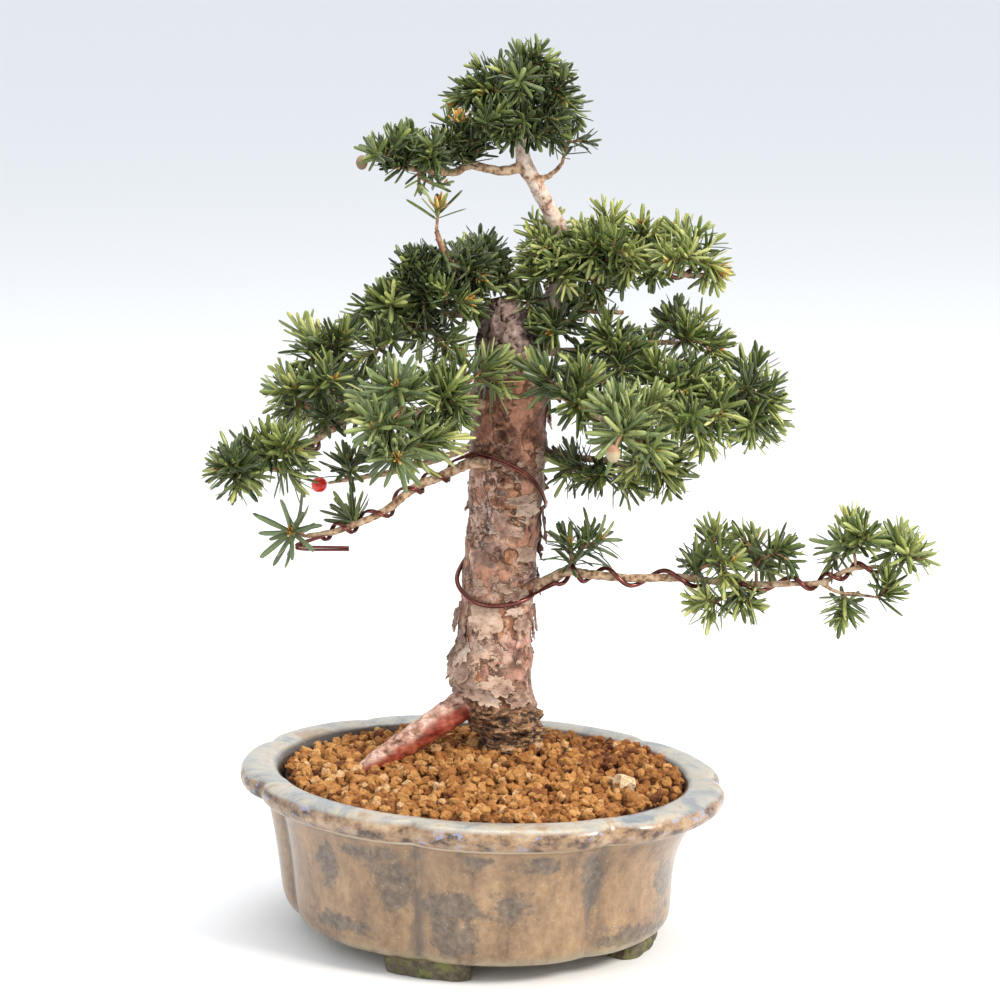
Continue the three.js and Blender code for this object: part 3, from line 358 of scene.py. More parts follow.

# Each group's needle length, how bright its needles are from 0 to 1, and the dark shoots behind each tip,
# whose darkness is painted shade.
GROUP_LOOKS = {
    "apex": (12.5, 0.29, 2), "apex_left": (12.5, 0.34, 1), "left_upper": (13.5, 0.23, 2),
    "right_upper": (13.5, 0.74, 1), "right_high": (14.5, 0.46, 1), "right_mid": (15.5, 0.54, 1),
    "right_front": (16.5, 0.54, 1), "right_back": (14.5, 0.26, 0), "left_mid": (15.5, 0.55, 1),
    "left_front": (17.5, 0.57, 1), "left_back": (14.5, 0.26, 0), "low_left": (16, 0.38, 0),
    "low_right": (14.5, 0.53, 0),
}

# Dark shoots close to the limbs, which fill a group from within; their darkness is painted shade inside the
# foliage.
INNER_TIPS = {
    "apex": [
        (2, 20, 376), (12, 16, 373), (27, 16, 374), (36, 20, 376), (20, 12, 381), (4, 30, 383), (33, 26, 383),
        (-6, 24, 377), (42, 30, 375), (10, 12, 378), (36, 14, 382), (26, 46, 374),
    ],
    "apex_left": [
        (-10, 22, 368), (-22, 16, 367), (-33, 15, 365), (-4, 24, 366), (-39, 12, 362), (-27, 22, 362),
        (-16, 20, 374), (-30, 10, 370),
    ],
    "left_upper": [
        (-2, 18, 302), (-28, 18, 303), (-36, 12, 308), (-2, 10, 294), (-26, 20, 290), (0, 24, 306),
        (2, 30, 312), (-38, 20, 300), (-30, 26, 312), (-10, 38, 308), (10, 34, 309), (-16, 30, 306),
        (-27, 14, 316), (-18, 12, 319), (-35, 17, 311),
    ],
    "right_upper": [
        (44, 22, 313), (56, 16, 314), (66, 14, 312), (78, 10, 311), (50, 30, 304), (22, 26, 312),
        (14, 30, 308), (31, 22, 314), (24, 40, 318), (18, 24, 300), (37, 26, 322), (60, 22, 322),
        (73, 14, 320), (46, 18, 320),
    ],
    "right_mid": [
        (60, -6, 246), (76, -16, 246), (92, -18, 247), (52, 0, 248), (104, -12, 250), (70, -26, 256),
    ],
    "right_high": [(46, 12, 271), (60, 8, 272)],
    "left_mid": [(-22, -16, 268), (-38, -14, 266), (-58, -10, 252), (-70, -4, 250)],
    "left_front": [(-24, -34, 250), (-12, -24, 252)],
}

# Buds at the tips of shoots: the number of their scales, and their length. With many scales they open.
BUDS = {
    (-19, 8, 341): (20, 8), (-1, 14, 310): (9, 6), (-8, 28, 317): (9, 6), (-11, 30, 389): (10, 6),
    (108, 4, 315): (14, 7.5), (-118, -17, 226): (12, 7), (-9, 18, 380): (16, 7.5), (-1, 40, 404): (7, 4),
    (-37, -56, 238): (12, 6), (-37, -48, 269): (6, 4), (-46, -56, 252): (6, 4), (-12, 2, 276): (10, 7),
    (-7, 2, 300): (8, 6), (-58, 28, 287): (6, 4), (-62, 2, 285): (5, 3.5), (-54, -6, 275): (6, 4),
    (-91, 16, 262): (6, 4.5), (-87, -18, 196): (9, 5), (40, 32, 287): (8, 6.5), (33, 12, 284): (6, 4),
    (50, -18, 269): (9, 6.5), (136, 10, 243): (9, 5.5), (122, 16, 268): (7, 4.5), (81, 58, 274): (8, 5.5),
    (104, 48, 264): (6, 4), (103, -12, 267): (6, 4.5), (164, -4, 185): (6, 3.6), (128, 0, 189): (6, 3.4),
    (116, -18, 183): (5, 3),
}

# Shoots that differ from their group: how many needles, over what length, a share of the group's needle
# length, the number of side and dark inner shoots, a brighter or darker tone, a waxy grey bloom, the way
# a star faces, how far the needles lean at the tip and at the foot, and how much they droop.
TIP_LOOKS = {
    (-19, 8, 341): {"needles": 7, "leafy": 4, "long": 1.35, "sides": 0, "inner": 0, "tone": 0.2},
    (-28, 12, 351): {"needles": 12, "long": 0.65, "sides": 0, "inner": 0},
    (-17, 27, 351): {"needles": 12, "long": 0.65, "sides": 0, "inner": 0},
    (-24, 8, 365): {"sides": 1},
    (-118, -17, 226): {"sides": 1},
    (18, 16, 400): {"leafy": 7, "tone": 0.1, "aim": (0, -1, 0.25), "splay": (34, 88)},
    (-37, -56, 238): {"leafy": 8, "bloom": 0.5, "aim": (0, -1, 0.2), "splay": (36, 90)},
    (-37, -48, 269): {"leafy": 8, "bloom": 0.5, "aim": (0, -1, 0.45), "splay": (36, 90)},
    (-46, -56, 252): {"leafy": 8, "bloom": 0.5, "aim": (-0.25, -1, 0.25), "splay": (36, 90)},
    (-50, -32, 260): {"bloom": 0.5},
    (-26, -36, 238): {"bloom": 0.4},
    (-28, 10, 281): {"bloom": 0.5},
    (-87, -18, 196): {
        "needles": 20, "leafy": 5, "long": 1.28, "sides": 0, "tone": -0.16, "bloom": 0.7,
        "aim": (0.05, -1, 0.1), "splay": (52, 98),
    },
    (-84, -14, 219): {"sides": 0},
    (-60, -8, 202): {"sides": 0},
    (63, -63, 250): {
        "needles": 16, "leafy": 6, "long": 1.15, "bloom": 0.7, "aim": (-0.1, -1, 0.1), "splay": (46, 98),
    },
    (59, -46, 259): {"long": 1.15, "bloom": 0.7},
    (42, 4, 186): {"long": 1.15, "sides": 1, "tone": -0.12, "droop": 0.3},
    (56, 0, 189): {"long": 1.15, "sides": 1, "tone": -0.12, "droop": 0.3},
    (78, -62, 243): {"sides": 1, "bloom": 0.2},
    (77, -38, 261): {"bloom": 0.3},
    (67, -4, 279): {"tone": 0.15},
    (91, -26, 262): {"tone": 0.12},
    (170, -12, 200): {"tone": 0.22},
    (199, -18, 188): {"tone": 0.2},
    (190, -10, 190): {"tone": 0.15},
}


# Hand tools: small helpers that every piece uses


def deselect():
    if bpy.context.object and bpy.context.object.mode != "OBJECT":
        bpy.ops.object.mode_set(mode="OBJECT")
    bpy.ops.object.select_all(action="DESELECT")


def pick(*pieces):
    deselect()
    for piece in pieces:
        piece.select_set(True)
    bpy.context.view_layer.objects.active = pieces[0]


def newest(name):
    """The piece that was just added, named, with its points in world coordinates."""
    piece = bpy.context.object
    piece.name = name
    piece.matrix_world = Matrix.Identity(4)
    return piece


def in_edit_mode(piece, step):
    """Runs an edit-mode step on all of a piece's faces."""
    pick(piece)
    bpy.ops.object.mode_set(mode="EDIT")
    bpy.ops.mesh.select_all(action="SELECT")
    step()
    bpy.ops.object.mode_set(mode="OBJECT")


def face_outwards(piece):
    in_edit_mode(piece, lambda: bpy.ops.mesh.normals_make_consistent(inside=False))


def cut_level(piece, levels):
    """Cuts a piece level with the ground at each of these heights."""
    for level in levels:
        in_edit_mode(piece, lambda: bpy.ops.mesh.bisect(plane_co=(0, 0, level), plane_no=(0, 0, 1)))


def finish_with(piece, kind, **settings):
    """Adds a modifier with its settings and applies it."""
    pick(piece)
    modifier = piece.modifiers.new(kind.lower(), kind)
    for key, value in settings.items():
        setattr(modifier, key, value)
    bpy.ops.object.modifier_apply(modifier=modifier.name)


def merge(name, pieces):
    pick(*pieces)
    if len(pieces) > 1:
        bpy.ops.object.join()
    piece = bpy.context.object
    piece.name = name
    piece.data.name = name
    return piece


def points_of(piece):
    points = np.zeros(len(piece.data.vertices) * 3)
    piece.data.vertices.foreach_get("co", points)
    return points.reshape(-1, 3)


def set_points(piece, points):
    piece.data.vertices.foreach_set("co", np.asarray(points, float).reshape(-1))
    piece.data.update()


def mark(mesh, name, values):
    """Stores one number for each point under a name, for the finish to read."""
    if name not in mesh.attributes:
        mesh.attributes.new(name, "FLOAT", "POINT")
    values = np.broadcast_to(np.asarray(values, np.float32), len(mesh.vertices)).copy()
    mesh.attributes[name].data.foreach_set("value", values)


def smooth(piece, degrees=None):
    pick(piece)
    if degrees is None:
        bpy.ops.object.shade_smooth()
    else:
        bpy.ops.object.shade_smooth_by_angle(angle=math.radians(degrees))


def dress(piece, *finishes):
    piece.data.materials.clear()
    for finish in finishes:
        piece.data.materials.append(finish)


def raise_rings(name, rings, marks=()):
    """A circle extruded ring by ring, each ring moved to its own outline, and a pole closing each end.

    marks holds pairs of a name and one row of values for each ring.
    """
    deselect()
    bpy.ops.mesh.primitive_circle_add(vertices=len(rings[0]), radius=MM)
    piece = newest(name)
    stack = [pole(rings[0]), *rings, pole(rings[-1])]
    for _ in stack[1:]:
        bpy.ops.object.mode_set(mode="EDIT")
        bpy.ops.mesh.extrude_region_move()
        bpy.ops.object.mode_set(mode="OBJECT")
    set_points(piece, [point for ring in stack for point in ring])
    for mark_name, rows in marks:
        mark(piece.data, mark_name, np.concatenate([rows[0], *rows, rows[-1]]))
    in_edit_mode(piece, lambda: bpy.ops.mesh.remove_doubles(threshold=1e-7))
    face_outwards(piece)
    return piece


def pole(ring):
    return [sum((Vector(point) for point in ring), Vector()) / len(ring)] * len(ring)


def smooth_path(knots, spacing):
    """Points about so many millimetres apart on a smooth curve through knots of (x, y, z, radius)."""
    knots = np.array(knots, float)
    padded = np.vstack([2 * knots[0] - knots[1], knots, 2 * knots[-1] - knots[-2]])
    path = []
    for i in range(1, len(padded) - 2):
        before, start, end, after = padded[i - 1 : i + 3]
        steps = max(1, round(np.linalg.norm(end[:3] - start[:3]) / spacing))
        for k in range(steps):
            t = k / steps
            path.append(
                0.5
                * (
                    2 * start
                    + (end - before) * t
                    + (2 * before - 5 * start + 4 * end - after) * t**2
                    + (3 * start - before - 3 * end + after) * t**3
                )
            )
    path.append(knots[-1])
    return np.array(path)


def spokes(path):
    """Two directions square to a path at each of its points, turned as little as possible on the way."""
    path = np.asarray(path, float)[:, :3]
    ahead = np.vstack([path[1:], path[-1:]]) - np.vstack([path[:1], path[:-1]])
    ahead /= np.linalg.norm(ahead, axis=1)[:, None]
    across = np.array([1.0, 0, 0]) if abs(ahead[0][2]) > 0.9 else np.array([0, 0, 1.0])
    first, second = [], []
    for direction in ahead:
        across = across - direction * across.dot(direction)
        across /= np.linalg.norm(across)
        first.append(across)
        second.append(np.cross(direction, across))
    return np.array(first), np.array(second)


def around(radius, angle):
    """x and y of a place at a distance and an angle from the middle."""
    return radius * math.cos(angle), radius * math.sin(angle)


def soft_step(value, low, high):
    """0 at low, 1 at high, and a soft step between them."""
    t = min(1.0, max(0.0, (value - low) / (high - low)))
    return t * t * (3 - 2 * t)


def turbulence(x, y, z, size, octaves=3):
    """Noise about 0 whose lumps are about so many millimetres wide."""
    return noise.fractal(Vector((x, y, z)) / size, 1.0, 2.0, octaves)


def spots(x, z, patches):
    """How much of any patch shows at a place. Each has its x and z, its half width and half height."""
    return max(
        math.exp(-(((x - px) / wide) ** 2) - ((z - pz) / tall) ** 2) for px, pz, wide, tall in patches
    )


def to_metres(points):
    return np.asarray(points, float)[:, :3] * MM + np.array(POT_MIDDLE)


def drawn(name, path, sides):
    """A round piece drawn as a curve through points of (x, y, z, radius) and made a mesh."""
    deselect()
    bpy.ops.curve.primitive_bezier_curve_add(radius=MM)
    line = newest(name).data
    line.splines.clear()
    spline = line.splines.new("POLY")
    path = np.asarray(path, float)
    spline.points.add(len(path) - 1)
    spline.points.foreach_set("co", np.hstack([to_metres(path), np.ones((len(path), 1))]).reshape(-1))
    spline.points.foreach_set("radius", path[:, 3])
    line.dimensions = "3D"
    line.bevel_depth = MM
    line.bevel_resolution = (sides - 4) // 2
    line.use_fill_caps = True
    line.twist_mode = "MINIMUM"
    bpy.ops.object.convert(target="MESH")
    return bpy.context.object


# Finishes


class Tone:
    """One value in a finish, on which sums and products can be written as in arithmetic."""

    def __init__(self, finish, socket):
        self.finish = finish
        self.socket = socket

    def __add__(self, other):
        return self.finish.sum("ADD", self, other)

    def __sub__(self, other):
        return self.finish.sum("SUBTRACT", self, other)

    def __rsub__(self, other):
        return self.finish.sum("SUBTRACT", other, self)

    def __mul__(self, other):
        return self.finish.sum("MULTIPLY", self, other)

    __radd__ = __add__
    __rmul__ = __mul__


class Finish:
    """A material built from its nodes. Lengths are in millimetres of the object's own coordinates."""

    def __init__(self, name, roughness=0.6, metallic=0.0, coat=0.0, coat_roughness=0.1):
        self.material = bpy.data.materials.new(name)
        self.material.use_nodes = True
        self.tree = self.material.node_tree
        self.shader = self.tree.nodes["Principled BSDF"]
        self.shader.inputs["Roughness"].default_value = roughness
        self.shader.inputs["Metallic"].default_value = metallic
        self.shader.inputs["Coat Weight"].default_value = coat
        self.shader.inputs["Coat Roughness"].default_value = coat_roughness
        metres = self.node("ShaderNodeTexCoord", output="Object")
        self.place = self.node("ShaderNodeVectorMath", {"operation": "SCALE"}, {0: metres, "Scale": 1 / MM})

    def node(self, kind, settings=None, inputs=None, output=0):
        made = self.tree.nodes.new(kind)
        for key, value in (settings or {}).items():
            if key == "stops":
                self.set_stops(made.color_ramp, value)
            else:
                setattr(made, key, value)
        for key, value in (inputs or {}).items():
            self.connect(value, made.inputs[key])
        return Tone(self, made.outputs[output])

    def set_stops(self, ramp, stops):
        while len(ramp.elements) < len(stops):
            ramp.elements.new(0.5)
        for element, (position, color) in zip(ramp.elements, stops):
            element.position = position
            element.color = (*color, 1)

    def connect(self, value, socket):
        if isinstance(value, Tone):
            self.tree.links.new(value.socket, socket)
        elif socket.type == "RGBA":
            socket.default_value = (*value, 1)
        else:
            socket.default_value = value

    def sum(self, operation, a, b):
        return self.node("ShaderNodeMath", {"operation": operation}, {0: a, 1: b})

    def stretched(self, x, y, z):
        return self.node("ShaderNodeVectorMath", {"operation": "MULTIPLY"}, {0: self.place, 1: (x, y, z)})

    def clouds(self, size, detail=4.0, roughness=0.55, where=None, distortion=0.0):
        """Soft noise from 0 to 1 whose lumps are about so many millimetres wide."""
        inputs = {
            "Vector": where or self.place,
            "Scale": 1 / size,
            "Detail": detail,
            "Roughness": roughness,
            "Distortion": distortion,
        }
        return self.node("ShaderNodeTexNoise", {}, inputs)

    def cells(self, size, where=None):
        return self.node("ShaderNodeTexVoronoi", {}, {"Vector": where or self.place, "Scale": 1 / size})

    def distance(self, value, level):
        """How far a value lies from a level, on either side."""
        return self.node("ShaderNodeMath", {"operation": "ABSOLUTE"}, {0: value - level})

    def band(self, value, low, high):
        """0 at low, 1 at high, and a soft step between them."""
        settings = {"interpolation_type": "SMOOTHSTEP"}
        return self.node("ShaderNodeMapRange", settings, {"Value": value, "From Min": low, "From Max": high})

    def ramp(self, value, *stops):
        return self.node("ShaderNodeValToRGB", {"stops": stops}, {"Fac": value}, "Color")

    def blend(self, share, a, b):
        """Colour a where the share is 0, and colour b where it is 1."""
        share_socket, a_socket, b_socket = 0, 6, 7
        inputs = {share_socket: share, a_socket: a, b_socket: b}
        return self.node("ShaderNodeMix", {"data_type": "RGBA"}, inputs, 2)

    def marked(self, name):
        return self.node("ShaderNodeAttribute", {"attribute_name": name}, output="Fac")

    def height(self):
        return self.node("ShaderNodeSeparateXYZ", {}, {0: self.place}, "Z")

    def bump(self, height, distance, strength=1.0):
        inputs = {"Height": height, "Distance": distance * MM, "Strength": strength}
        self.connect(self.node("ShaderNodeBump", {}, inputs), self.shader.inputs["Normal"])

    def set(self, name, value):
        self.connect(value, self.shader.inputs[name])


def stoneware_glaze():
    """Taupe-brown glaze that broke grey and black over the body, pale and blue-grey over the lip."""
    glaze = Finish("stoneware_glaze", coat=0.5, coat_roughness=0.15)
    height = glaze.height()
    runs = glaze.clouds(12, 6, 0.62, glaze.stretched(1, 1, 0.5))
    broad = glaze.clouds(36, 6, 0.66, distortion=0.5)
    fine = glaze.clouds(3.4, 6, 0.7)
    body = glaze.ramp(
        runs * 0.68 + fine * 0.32,
        (0.36, (0.11, 0.062, 0.031)),
        (0.45, (0.195, 0.115, 0.056)),
        (0.55, (0.28, 0.17, 0.084)),
        (0.66, (0.375, 0.245, 0.125)),
    )
    blotches = broad * 0.4 + glaze.clouds(9, 9, 0.78) * 0.6 + (glaze.marked("slate") - 0.3) * 0.28
    slate = glaze.ramp(fine, (0.38, (0.045, 0.034, 0.025)), (0.64, (0.165, 0.123, 0.086)))
    body = glaze.blend(glaze.band(blotches, 0.485, 0.56) * 0.8, body, slate)
    # Painted shade: the creases between the lobes are darkened in patches.
    crease_shade_patches = glaze.band(glaze.clouds(5, 6, 0.7, glaze.stretched(1, 1, 0.4)), 0.36, 0.56)
    body = glaze.blend(glaze.marked("groove") * crease_shade_patches * 0.85, body, (0.07, 0.052, 0.042))
    olive = glaze.band(height, 17, 9) * glaze.band(runs, 0.38, 0.55)
    body = glaze.blend(olive * 0.7, body, (0.33, 0.3, 0.18))
    lip = glaze.ramp(
        glaze.clouds(7, 6, 0.66, glaze.stretched(0.8, 0.8, 1.1)),
        (0.4, (0.05, 0.027, 0.015)),
        (0.46, (0.18, 0.105, 0.055)),
        (0.55, (0.31, 0.19, 0.1)),
        (0.68, (0.42, 0.31, 0.19)),
    )
    blue = glaze.band(glaze.clouds(9, 7, 0.78, glaze.stretched(0.7, 0.7, 1.2)), 0.56, 0.61)
    lip = glaze.blend(blue * 0.75, lip, (0.25, 0.3, 0.46))
    lip = glaze.blend(glaze.band(height, 68.6, 67.4), lip, (0.5, 0.43, 0.33))
    top = glaze.ramp(
        glaze.clouds(22, 7, 0.66, distortion=0.8),
        (0.38, (0.2, 0.22, 0.24)),
        (0.47, (0.33, 0.32, 0.29)),
        (0.56, (0.44, 0.39, 0.31)),
        (0.66, (0.34, 0.24, 0.15)),
    )
    specks = glaze.band(glaze.clouds(6, 5, 0.6), 0.62, 0.68)
    top = glaze.blend(specks * 0.6, top, (0.22, 0.16, 0.12))
    color = glaze.blend(glaze.band(height, 65.8, 67.2), body, lip)
    color = glaze.blend(glaze.band(height, 75.8, 77.6), color, top)
    color = glaze.blend(glaze.marked("inside"), color, (0.06, 0.04, 0.03))
    pits = glaze.band(glaze.cells(1.7), 0.17, 0.07) * glaze.band(fine, 0.5, 0.58)
    color = glaze.blend(pits * 0.5, color, (0.66, 0.62, 0.55))
    glaze.set("Base Color", color)
    glaze.set("Roughness", glaze.band(runs, 0.2, 0.9) * 0.35 + 0.22)
    glaze.bump(runs * 0.7 + fine * 0.5 + glaze.clouds(1.2, 3) * 0.15, 0.6, 0.6)
    return glaze.material


def mossy_clay():
    """The feet's dark, rough clay with patches of yellow-green moss."""
    clay = Finish("mossy_clay", roughness=0.85)
    lumps = clay.clouds(4, 6, 0.7)
    color = clay.ramp(lumps, (0.3, (0.03, 0.026, 0.016)), (0.5, (0.1, 0.08, 0.05)), (0.7, (0.2, 0.17, 0.11)))
    moss = clay.band(clay.clouds(6, 6, 0.7), 0.47, 0.6)
    color = clay.blend(moss * 0.7, color, (0.19, 0.2, 0.05))
    clay.set("Base Color", color)
    clay.bump(lumps + clay.clouds(1, 4, 0.7) * 0.4, 0.8, 0.9)
    return clay.material


def old_bark():
    """Orange-brown bark under thin plates of violet-grey and cream, a brown fibrous crown and a red root."""
    bark = Finish("old_bark", roughness=0.72)
    fine = bark.clouds(4, 8, 0.74, bark.stretched(1, 1, 0.8), 0.4)
    mottle = bark.clouds(15, 7, 0.6, distortion=0.9)
    lines = bark.clouds(3, 6, 0.7, bark.stretched(1, 1, 3.5))
    ragged = bark.clouds(15, 9, 0.6, bark.stretched(1, 1, 0.8), 0.5)
    scaly = bark.clouds(6, 8, 0.66, bark.stretched(0.9, 0.9, 1.6), 0.8)
    trunk = bark.marked("trunk")
    under = bark.ramp(
        fine, (0.38, (0.11, 0.036, 0.015)), (0.5, (0.32, 0.13, 0.055)), (0.64, (0.58, 0.3, 0.165))
    )
    over = bark.ramp(
        mottle * 0.6 + fine * 0.4,
        (0.38, (0.075, 0.032, 0.019)),
        (0.46, (0.205, 0.1, 0.06)),
        (0.53, (0.38, 0.192, 0.112)),
        (0.61, (0.69, 0.465, 0.335)),
    )
    plates = bark.band(ragged, 0.478, 0.495)
    cracks = bark.band(ragged, 0.459, 0.475) * (1 - plates)
    scales = bark.band(scaly, 0.6, 0.612)
    scale_cracks = bark.band(scaly, 0.58, 0.598) * (1 - scales)
    color = bark.blend(plates, under, over)
    violet = bark.band(bark.clouds(20, 7, 0.66, distortion=0.6), 0.5, 0.58)
    haze = bark.ramp(fine, (0.42, (0.135, 0.08, 0.075)), (0.6, (0.4, 0.27, 0.25)))
    color = bark.blend(violet * 0.42, color, haze)
    cream = bark.ramp(
        lines * 0.5 + fine * 0.5,
        (0.4, (0.34, 0.23, 0.16)),
        (0.5, (0.56, 0.42, 0.31)),
        (0.6, (0.72, 0.59, 0.47)),
    )
    color = bark.blend(scales * 0.75, color, cream)
    color = bark.blend(bark.marked("pale") * bark.band(fine, 0.46, 0.56) * 0.6, color, (0.62, 0.48, 0.41))
    rust = bark.ramp(
        fine, (0.36, (0.06, 0.018, 0.009)), (0.5, (0.2, 0.066, 0.028)), (0.64, (0.38, 0.165, 0.085))
    )
    color = bark.blend(bark.marked("rust") * 0.86, color, rust)
    orange = bark.ramp(fine, (0.35, (0.3, 0.115, 0.06)), (0.65, (0.56, 0.28, 0.18)))
    peeled = bark.marked("orange") + (ragged - 0.5) * 0.9 + (fine - 0.5) * 0.5
    color = bark.blend(bark.band(peeled, 0.36, 0.44) * 0.9, color, orange)
    color = bark.blend((cracks * 0.7 + scale_cracks * 0.5) * trunk, color, (0.075, 0.033, 0.02))
    twig = bark.ramp(
        fine * 0.75 + bark.cells(2.2) * 0.25,
        (0.36, (0.1, 0.045, 0.024)),
        (0.46, (0.3, 0.17, 0.09)),
        (0.57, (0.54, 0.39, 0.26)),
    )
    color = bark.blend(bark.marked("twig"), color, twig)
    leader = bark.ramp(fine, (0.4, (0.2, 0.085, 0.05)), (0.45, (0.48, 0.33, 0.25)), (0.6, (0.74, 0.62, 0.53)))
    color = bark.blend(bark.marked("leader"), color, leader)
    salmon = bark.ramp(
        fine, (0.38, (0.24, 0.11, 0.09)), (0.5, (0.42, 0.19, 0.14)), (0.62, (0.54, 0.29, 0.23))
    )
    color = bark.blend(bark.marked("salmon") * bark.band(mottle, 0.4, 0.6) * 0.75, color, salmon)
    root = bark.clouds(5, 9, 0.76, bark.stretched(0.8, 1, 1.2), 0.6)
    skin = bark.ramp(
        root,
        (0.38, (0.09, 0.04, 0.026)),
        (0.43, (0.3, 0.15, 0.1)),
        (0.51, (0.54, 0.3, 0.22)),
        (0.6, (0.76, 0.56, 0.47)),
    )
    color = bark.blend(bark.marked("skin"), color, skin)
    red = bark.ramp(
        root * 0.6 + mottle * 0.4,
        (0.38, (0.05, 0.008, 0.006)),
        (0.48, (0.27, 0.04, 0.022)),
        (0.6, (0.52, 0.15, 0.085)),
    )
    color = bark.blend(bark.band(bark.marked("red") + (root - 0.5) * 2.2, 0.2, 0.95), color, red)
    fibre = bark.clouds(3.4, 9, 0.78, bark.stretched(0.8, 0.8, 2.2), 0.7)
    crown = bark.ramp(
        fibre,
        (0.42, (0.006, 0.003, 0.002)),
        (0.47, (0.075, 0.035, 0.016)),
        (0.54, (0.34, 0.17, 0.075)),
        (0.64, (0.66, 0.44, 0.25)),
    )
    moss = bark.band(bark.clouds(6, 6, 0.72), 0.55, 0.62)
    crown = bark.blend(moss * 0.35, crown, (0.14, 0.12, 0.03))
    color = bark.blend(bark.marked("crown"), color, crown)
    slabs = bark.clouds(21, 3, 0.5, bark.stretched(1.3, 1, 0.75), 0.7)
    crevice = bark.band(bark.distance(slabs, 0.5), 0.02, 0.003)
    dead = bark.ramp(
        fine * 0.5 + mottle * 0.5,
        (0.4, (0.1, 0.06, 0.05)),
        (0.5, (0.225, 0.148, 0.122)),
        (0.6, (0.4, 0.29, 0.245)),
    )
    dead = bark.blend(crevice * 0.9, dead, (0.03, 0.017, 0.013))
    color = bark.blend(bark.marked("dead"), color, dead)
    color = bark.blend(bark.marked("shade"), color, (0.03, 0.014, 0.009))
    bark.set("Base Color", color)
    bark.set("Roughness", 0.78 - trunk * 0.28 - bark.marked("red") * 0.45)
    layers = (plates * 0.9 + scales * 0.8 - scale_cracks * 0.4 - cracks * 0.6) * trunk
    layers = layers - crevice * bark.marked("dead") + fine * 0.7 + mottle * 0.25 + lines * 0.3
    bark.bump(layers + fibre * bark.marked("crown"), 1.0, 0.9)
    return bark.material


def bark_flake_finish():
    """Curled flakes: grey-brown and fibrous outside, with pale broken edges."""
    flake = Finish("bark_flake", roughness=0.85)
    grain = flake.clouds(2.6, 7, 0.7, flake.stretched(0.7, 0.7, 1.3), 0.4)
    patches = flake.clouds(9, 5, 0.6)
    outside = flake.ramp(
        grain * 0.4 + patches * 0.4 + flake.marked("tone") * 0.2,
        (0.36, (0.15, 0.085, 0.06)),
        (0.45, (0.34, 0.215, 0.16)),
        (0.54, (0.52, 0.355, 0.265)),
        (0.66, (0.7, 0.56, 0.46)),
    )
    color = flake.blend(flake.marked("edge") * 0.55, outside, (0.64, 0.48, 0.35))
    color = flake.blend(flake.band(grain, 0.4, 0.34) * 0.7, color, (0.07, 0.035, 0.022))
    color = flake.blend(flake.marked("dark") * 0.9, color, (0.1, 0.03, 0.018))
    flake.set("Base Color", color)
    flake.bump(grain, 1.0, 1.0)
    return flake.material


def twig_finish():
    """Reddish-brown young twigs with a scaly skin."""
    twig = Finish("twig_bark", roughness=0.7)
    scales = twig.cells(1.6)
    color = twig.ramp(
        twig.clouds(2.5, 5, 0.65) * 0.6 + scales * 0.4,
        (0.25, (0.1, 0.04, 0.02)), (0.45, (0.27, 0.12, 0.06)), (0.65, (0.48, 0.3, 0.17)),
    )
    color = twig.blend(twig.marked("green"), color, (0.16, 0.2, 0.045))
    twig.set("Base Color", color)
    twig.bump(scales, 0.3, 0.8)
    return twig.material


def needle_finish(name, stops, margin, rib):
    """Leathery needles. The mark tone runs from dark to bright: old needles and the painted shade inside the
    foliage are dark, young needles bright; bloom is a waxy grey.
    """
    leaf = Finish(name)
    tone = leaf.marked("tone")
    strip = leaf.node("ShaderNodeUVMap", {"uv_map": "UVMap"})
    side = leaf.node("ShaderNodeSeparateXYZ", {}, {0: strip}, "X")
    length = leaf.node("ShaderNodeSeparateXYZ", {}, {0: strip}, "Y")
    from_rib = leaf.distance(side, 0.5)
    color = leaf.ramp(tone + (leaf.clouds(9, 3, 0.5) - 0.5) * 0.35, *stops)
    color = leaf.blend(leaf.marked("bloom") * 0.75, color, (0.24, 0.31, 0.15))
    color = leaf.blend(leaf.band(from_rib, 0.3, 0.46) * 0.45, color, margin)
    color = leaf.blend(leaf.band(from_rib, 0.12, 0.02) * 0.3, color, rib)
    color = leaf.blend(leaf.band(length, 0.14, 0.0) * 0.6, color, (0.36, 0.4, 0.12))
    leaf.set("Base Color", color)
    leaf.set("Roughness", 0.33 - tone * 0.08)
    leaf.bump(leaf.band(from_rib, 0.0, 0.18), 0.12, 0.6)
    return leaf.material


def bud_finish():
    bud = Finish("golden_bud", roughness=0.5)
    color = bud.ramp(
        bud.marked("tone"), (0.0, (0.3, 0.12, 0.03)), (0.5, (0.6, 0.34, 0.07)), (1.0, (0.82, 0.6, 0.2))
    )
    bud.set("Base Color", bud.blend(bud.clouds(2, 3) * 0.4, color, (0.5, 0.24, 0.07)))
    return bud.material


def clay_finish():
    """Fired clay granules, from pale ochre to damp red-brown, and near black for the painted shade in the
    gaps between them.
    """
    clay = Finish("clay_granules", roughness=0.95)
    speck = clay.clouds(1.8, 6, 0.72)
    color = clay.ramp(
        clay.marked("tone") + (clay.clouds(5, 3) - 0.5) * 0.3,
        (0.0, (0.02, 0.005, 0.002)),
        (0.3, (0.13, 0.034, 0.008)),
        (0.55, (0.38, 0.15, 0.034)),
        (0.8, (0.62, 0.31, 0.095)),
        (1.0, (0.84, 0.64, 0.4)),
    )
    color = clay.blend(clay.band(speck, 0.5, 0.38) * 0.55, color, (0.14, 0.04, 0.01))
    clay.set("Base Color", color)
    clay.bump(speck + clay.clouds(0.7, 3, 0.6) * 0.4, 1.2, 1.0)
    return clay.material


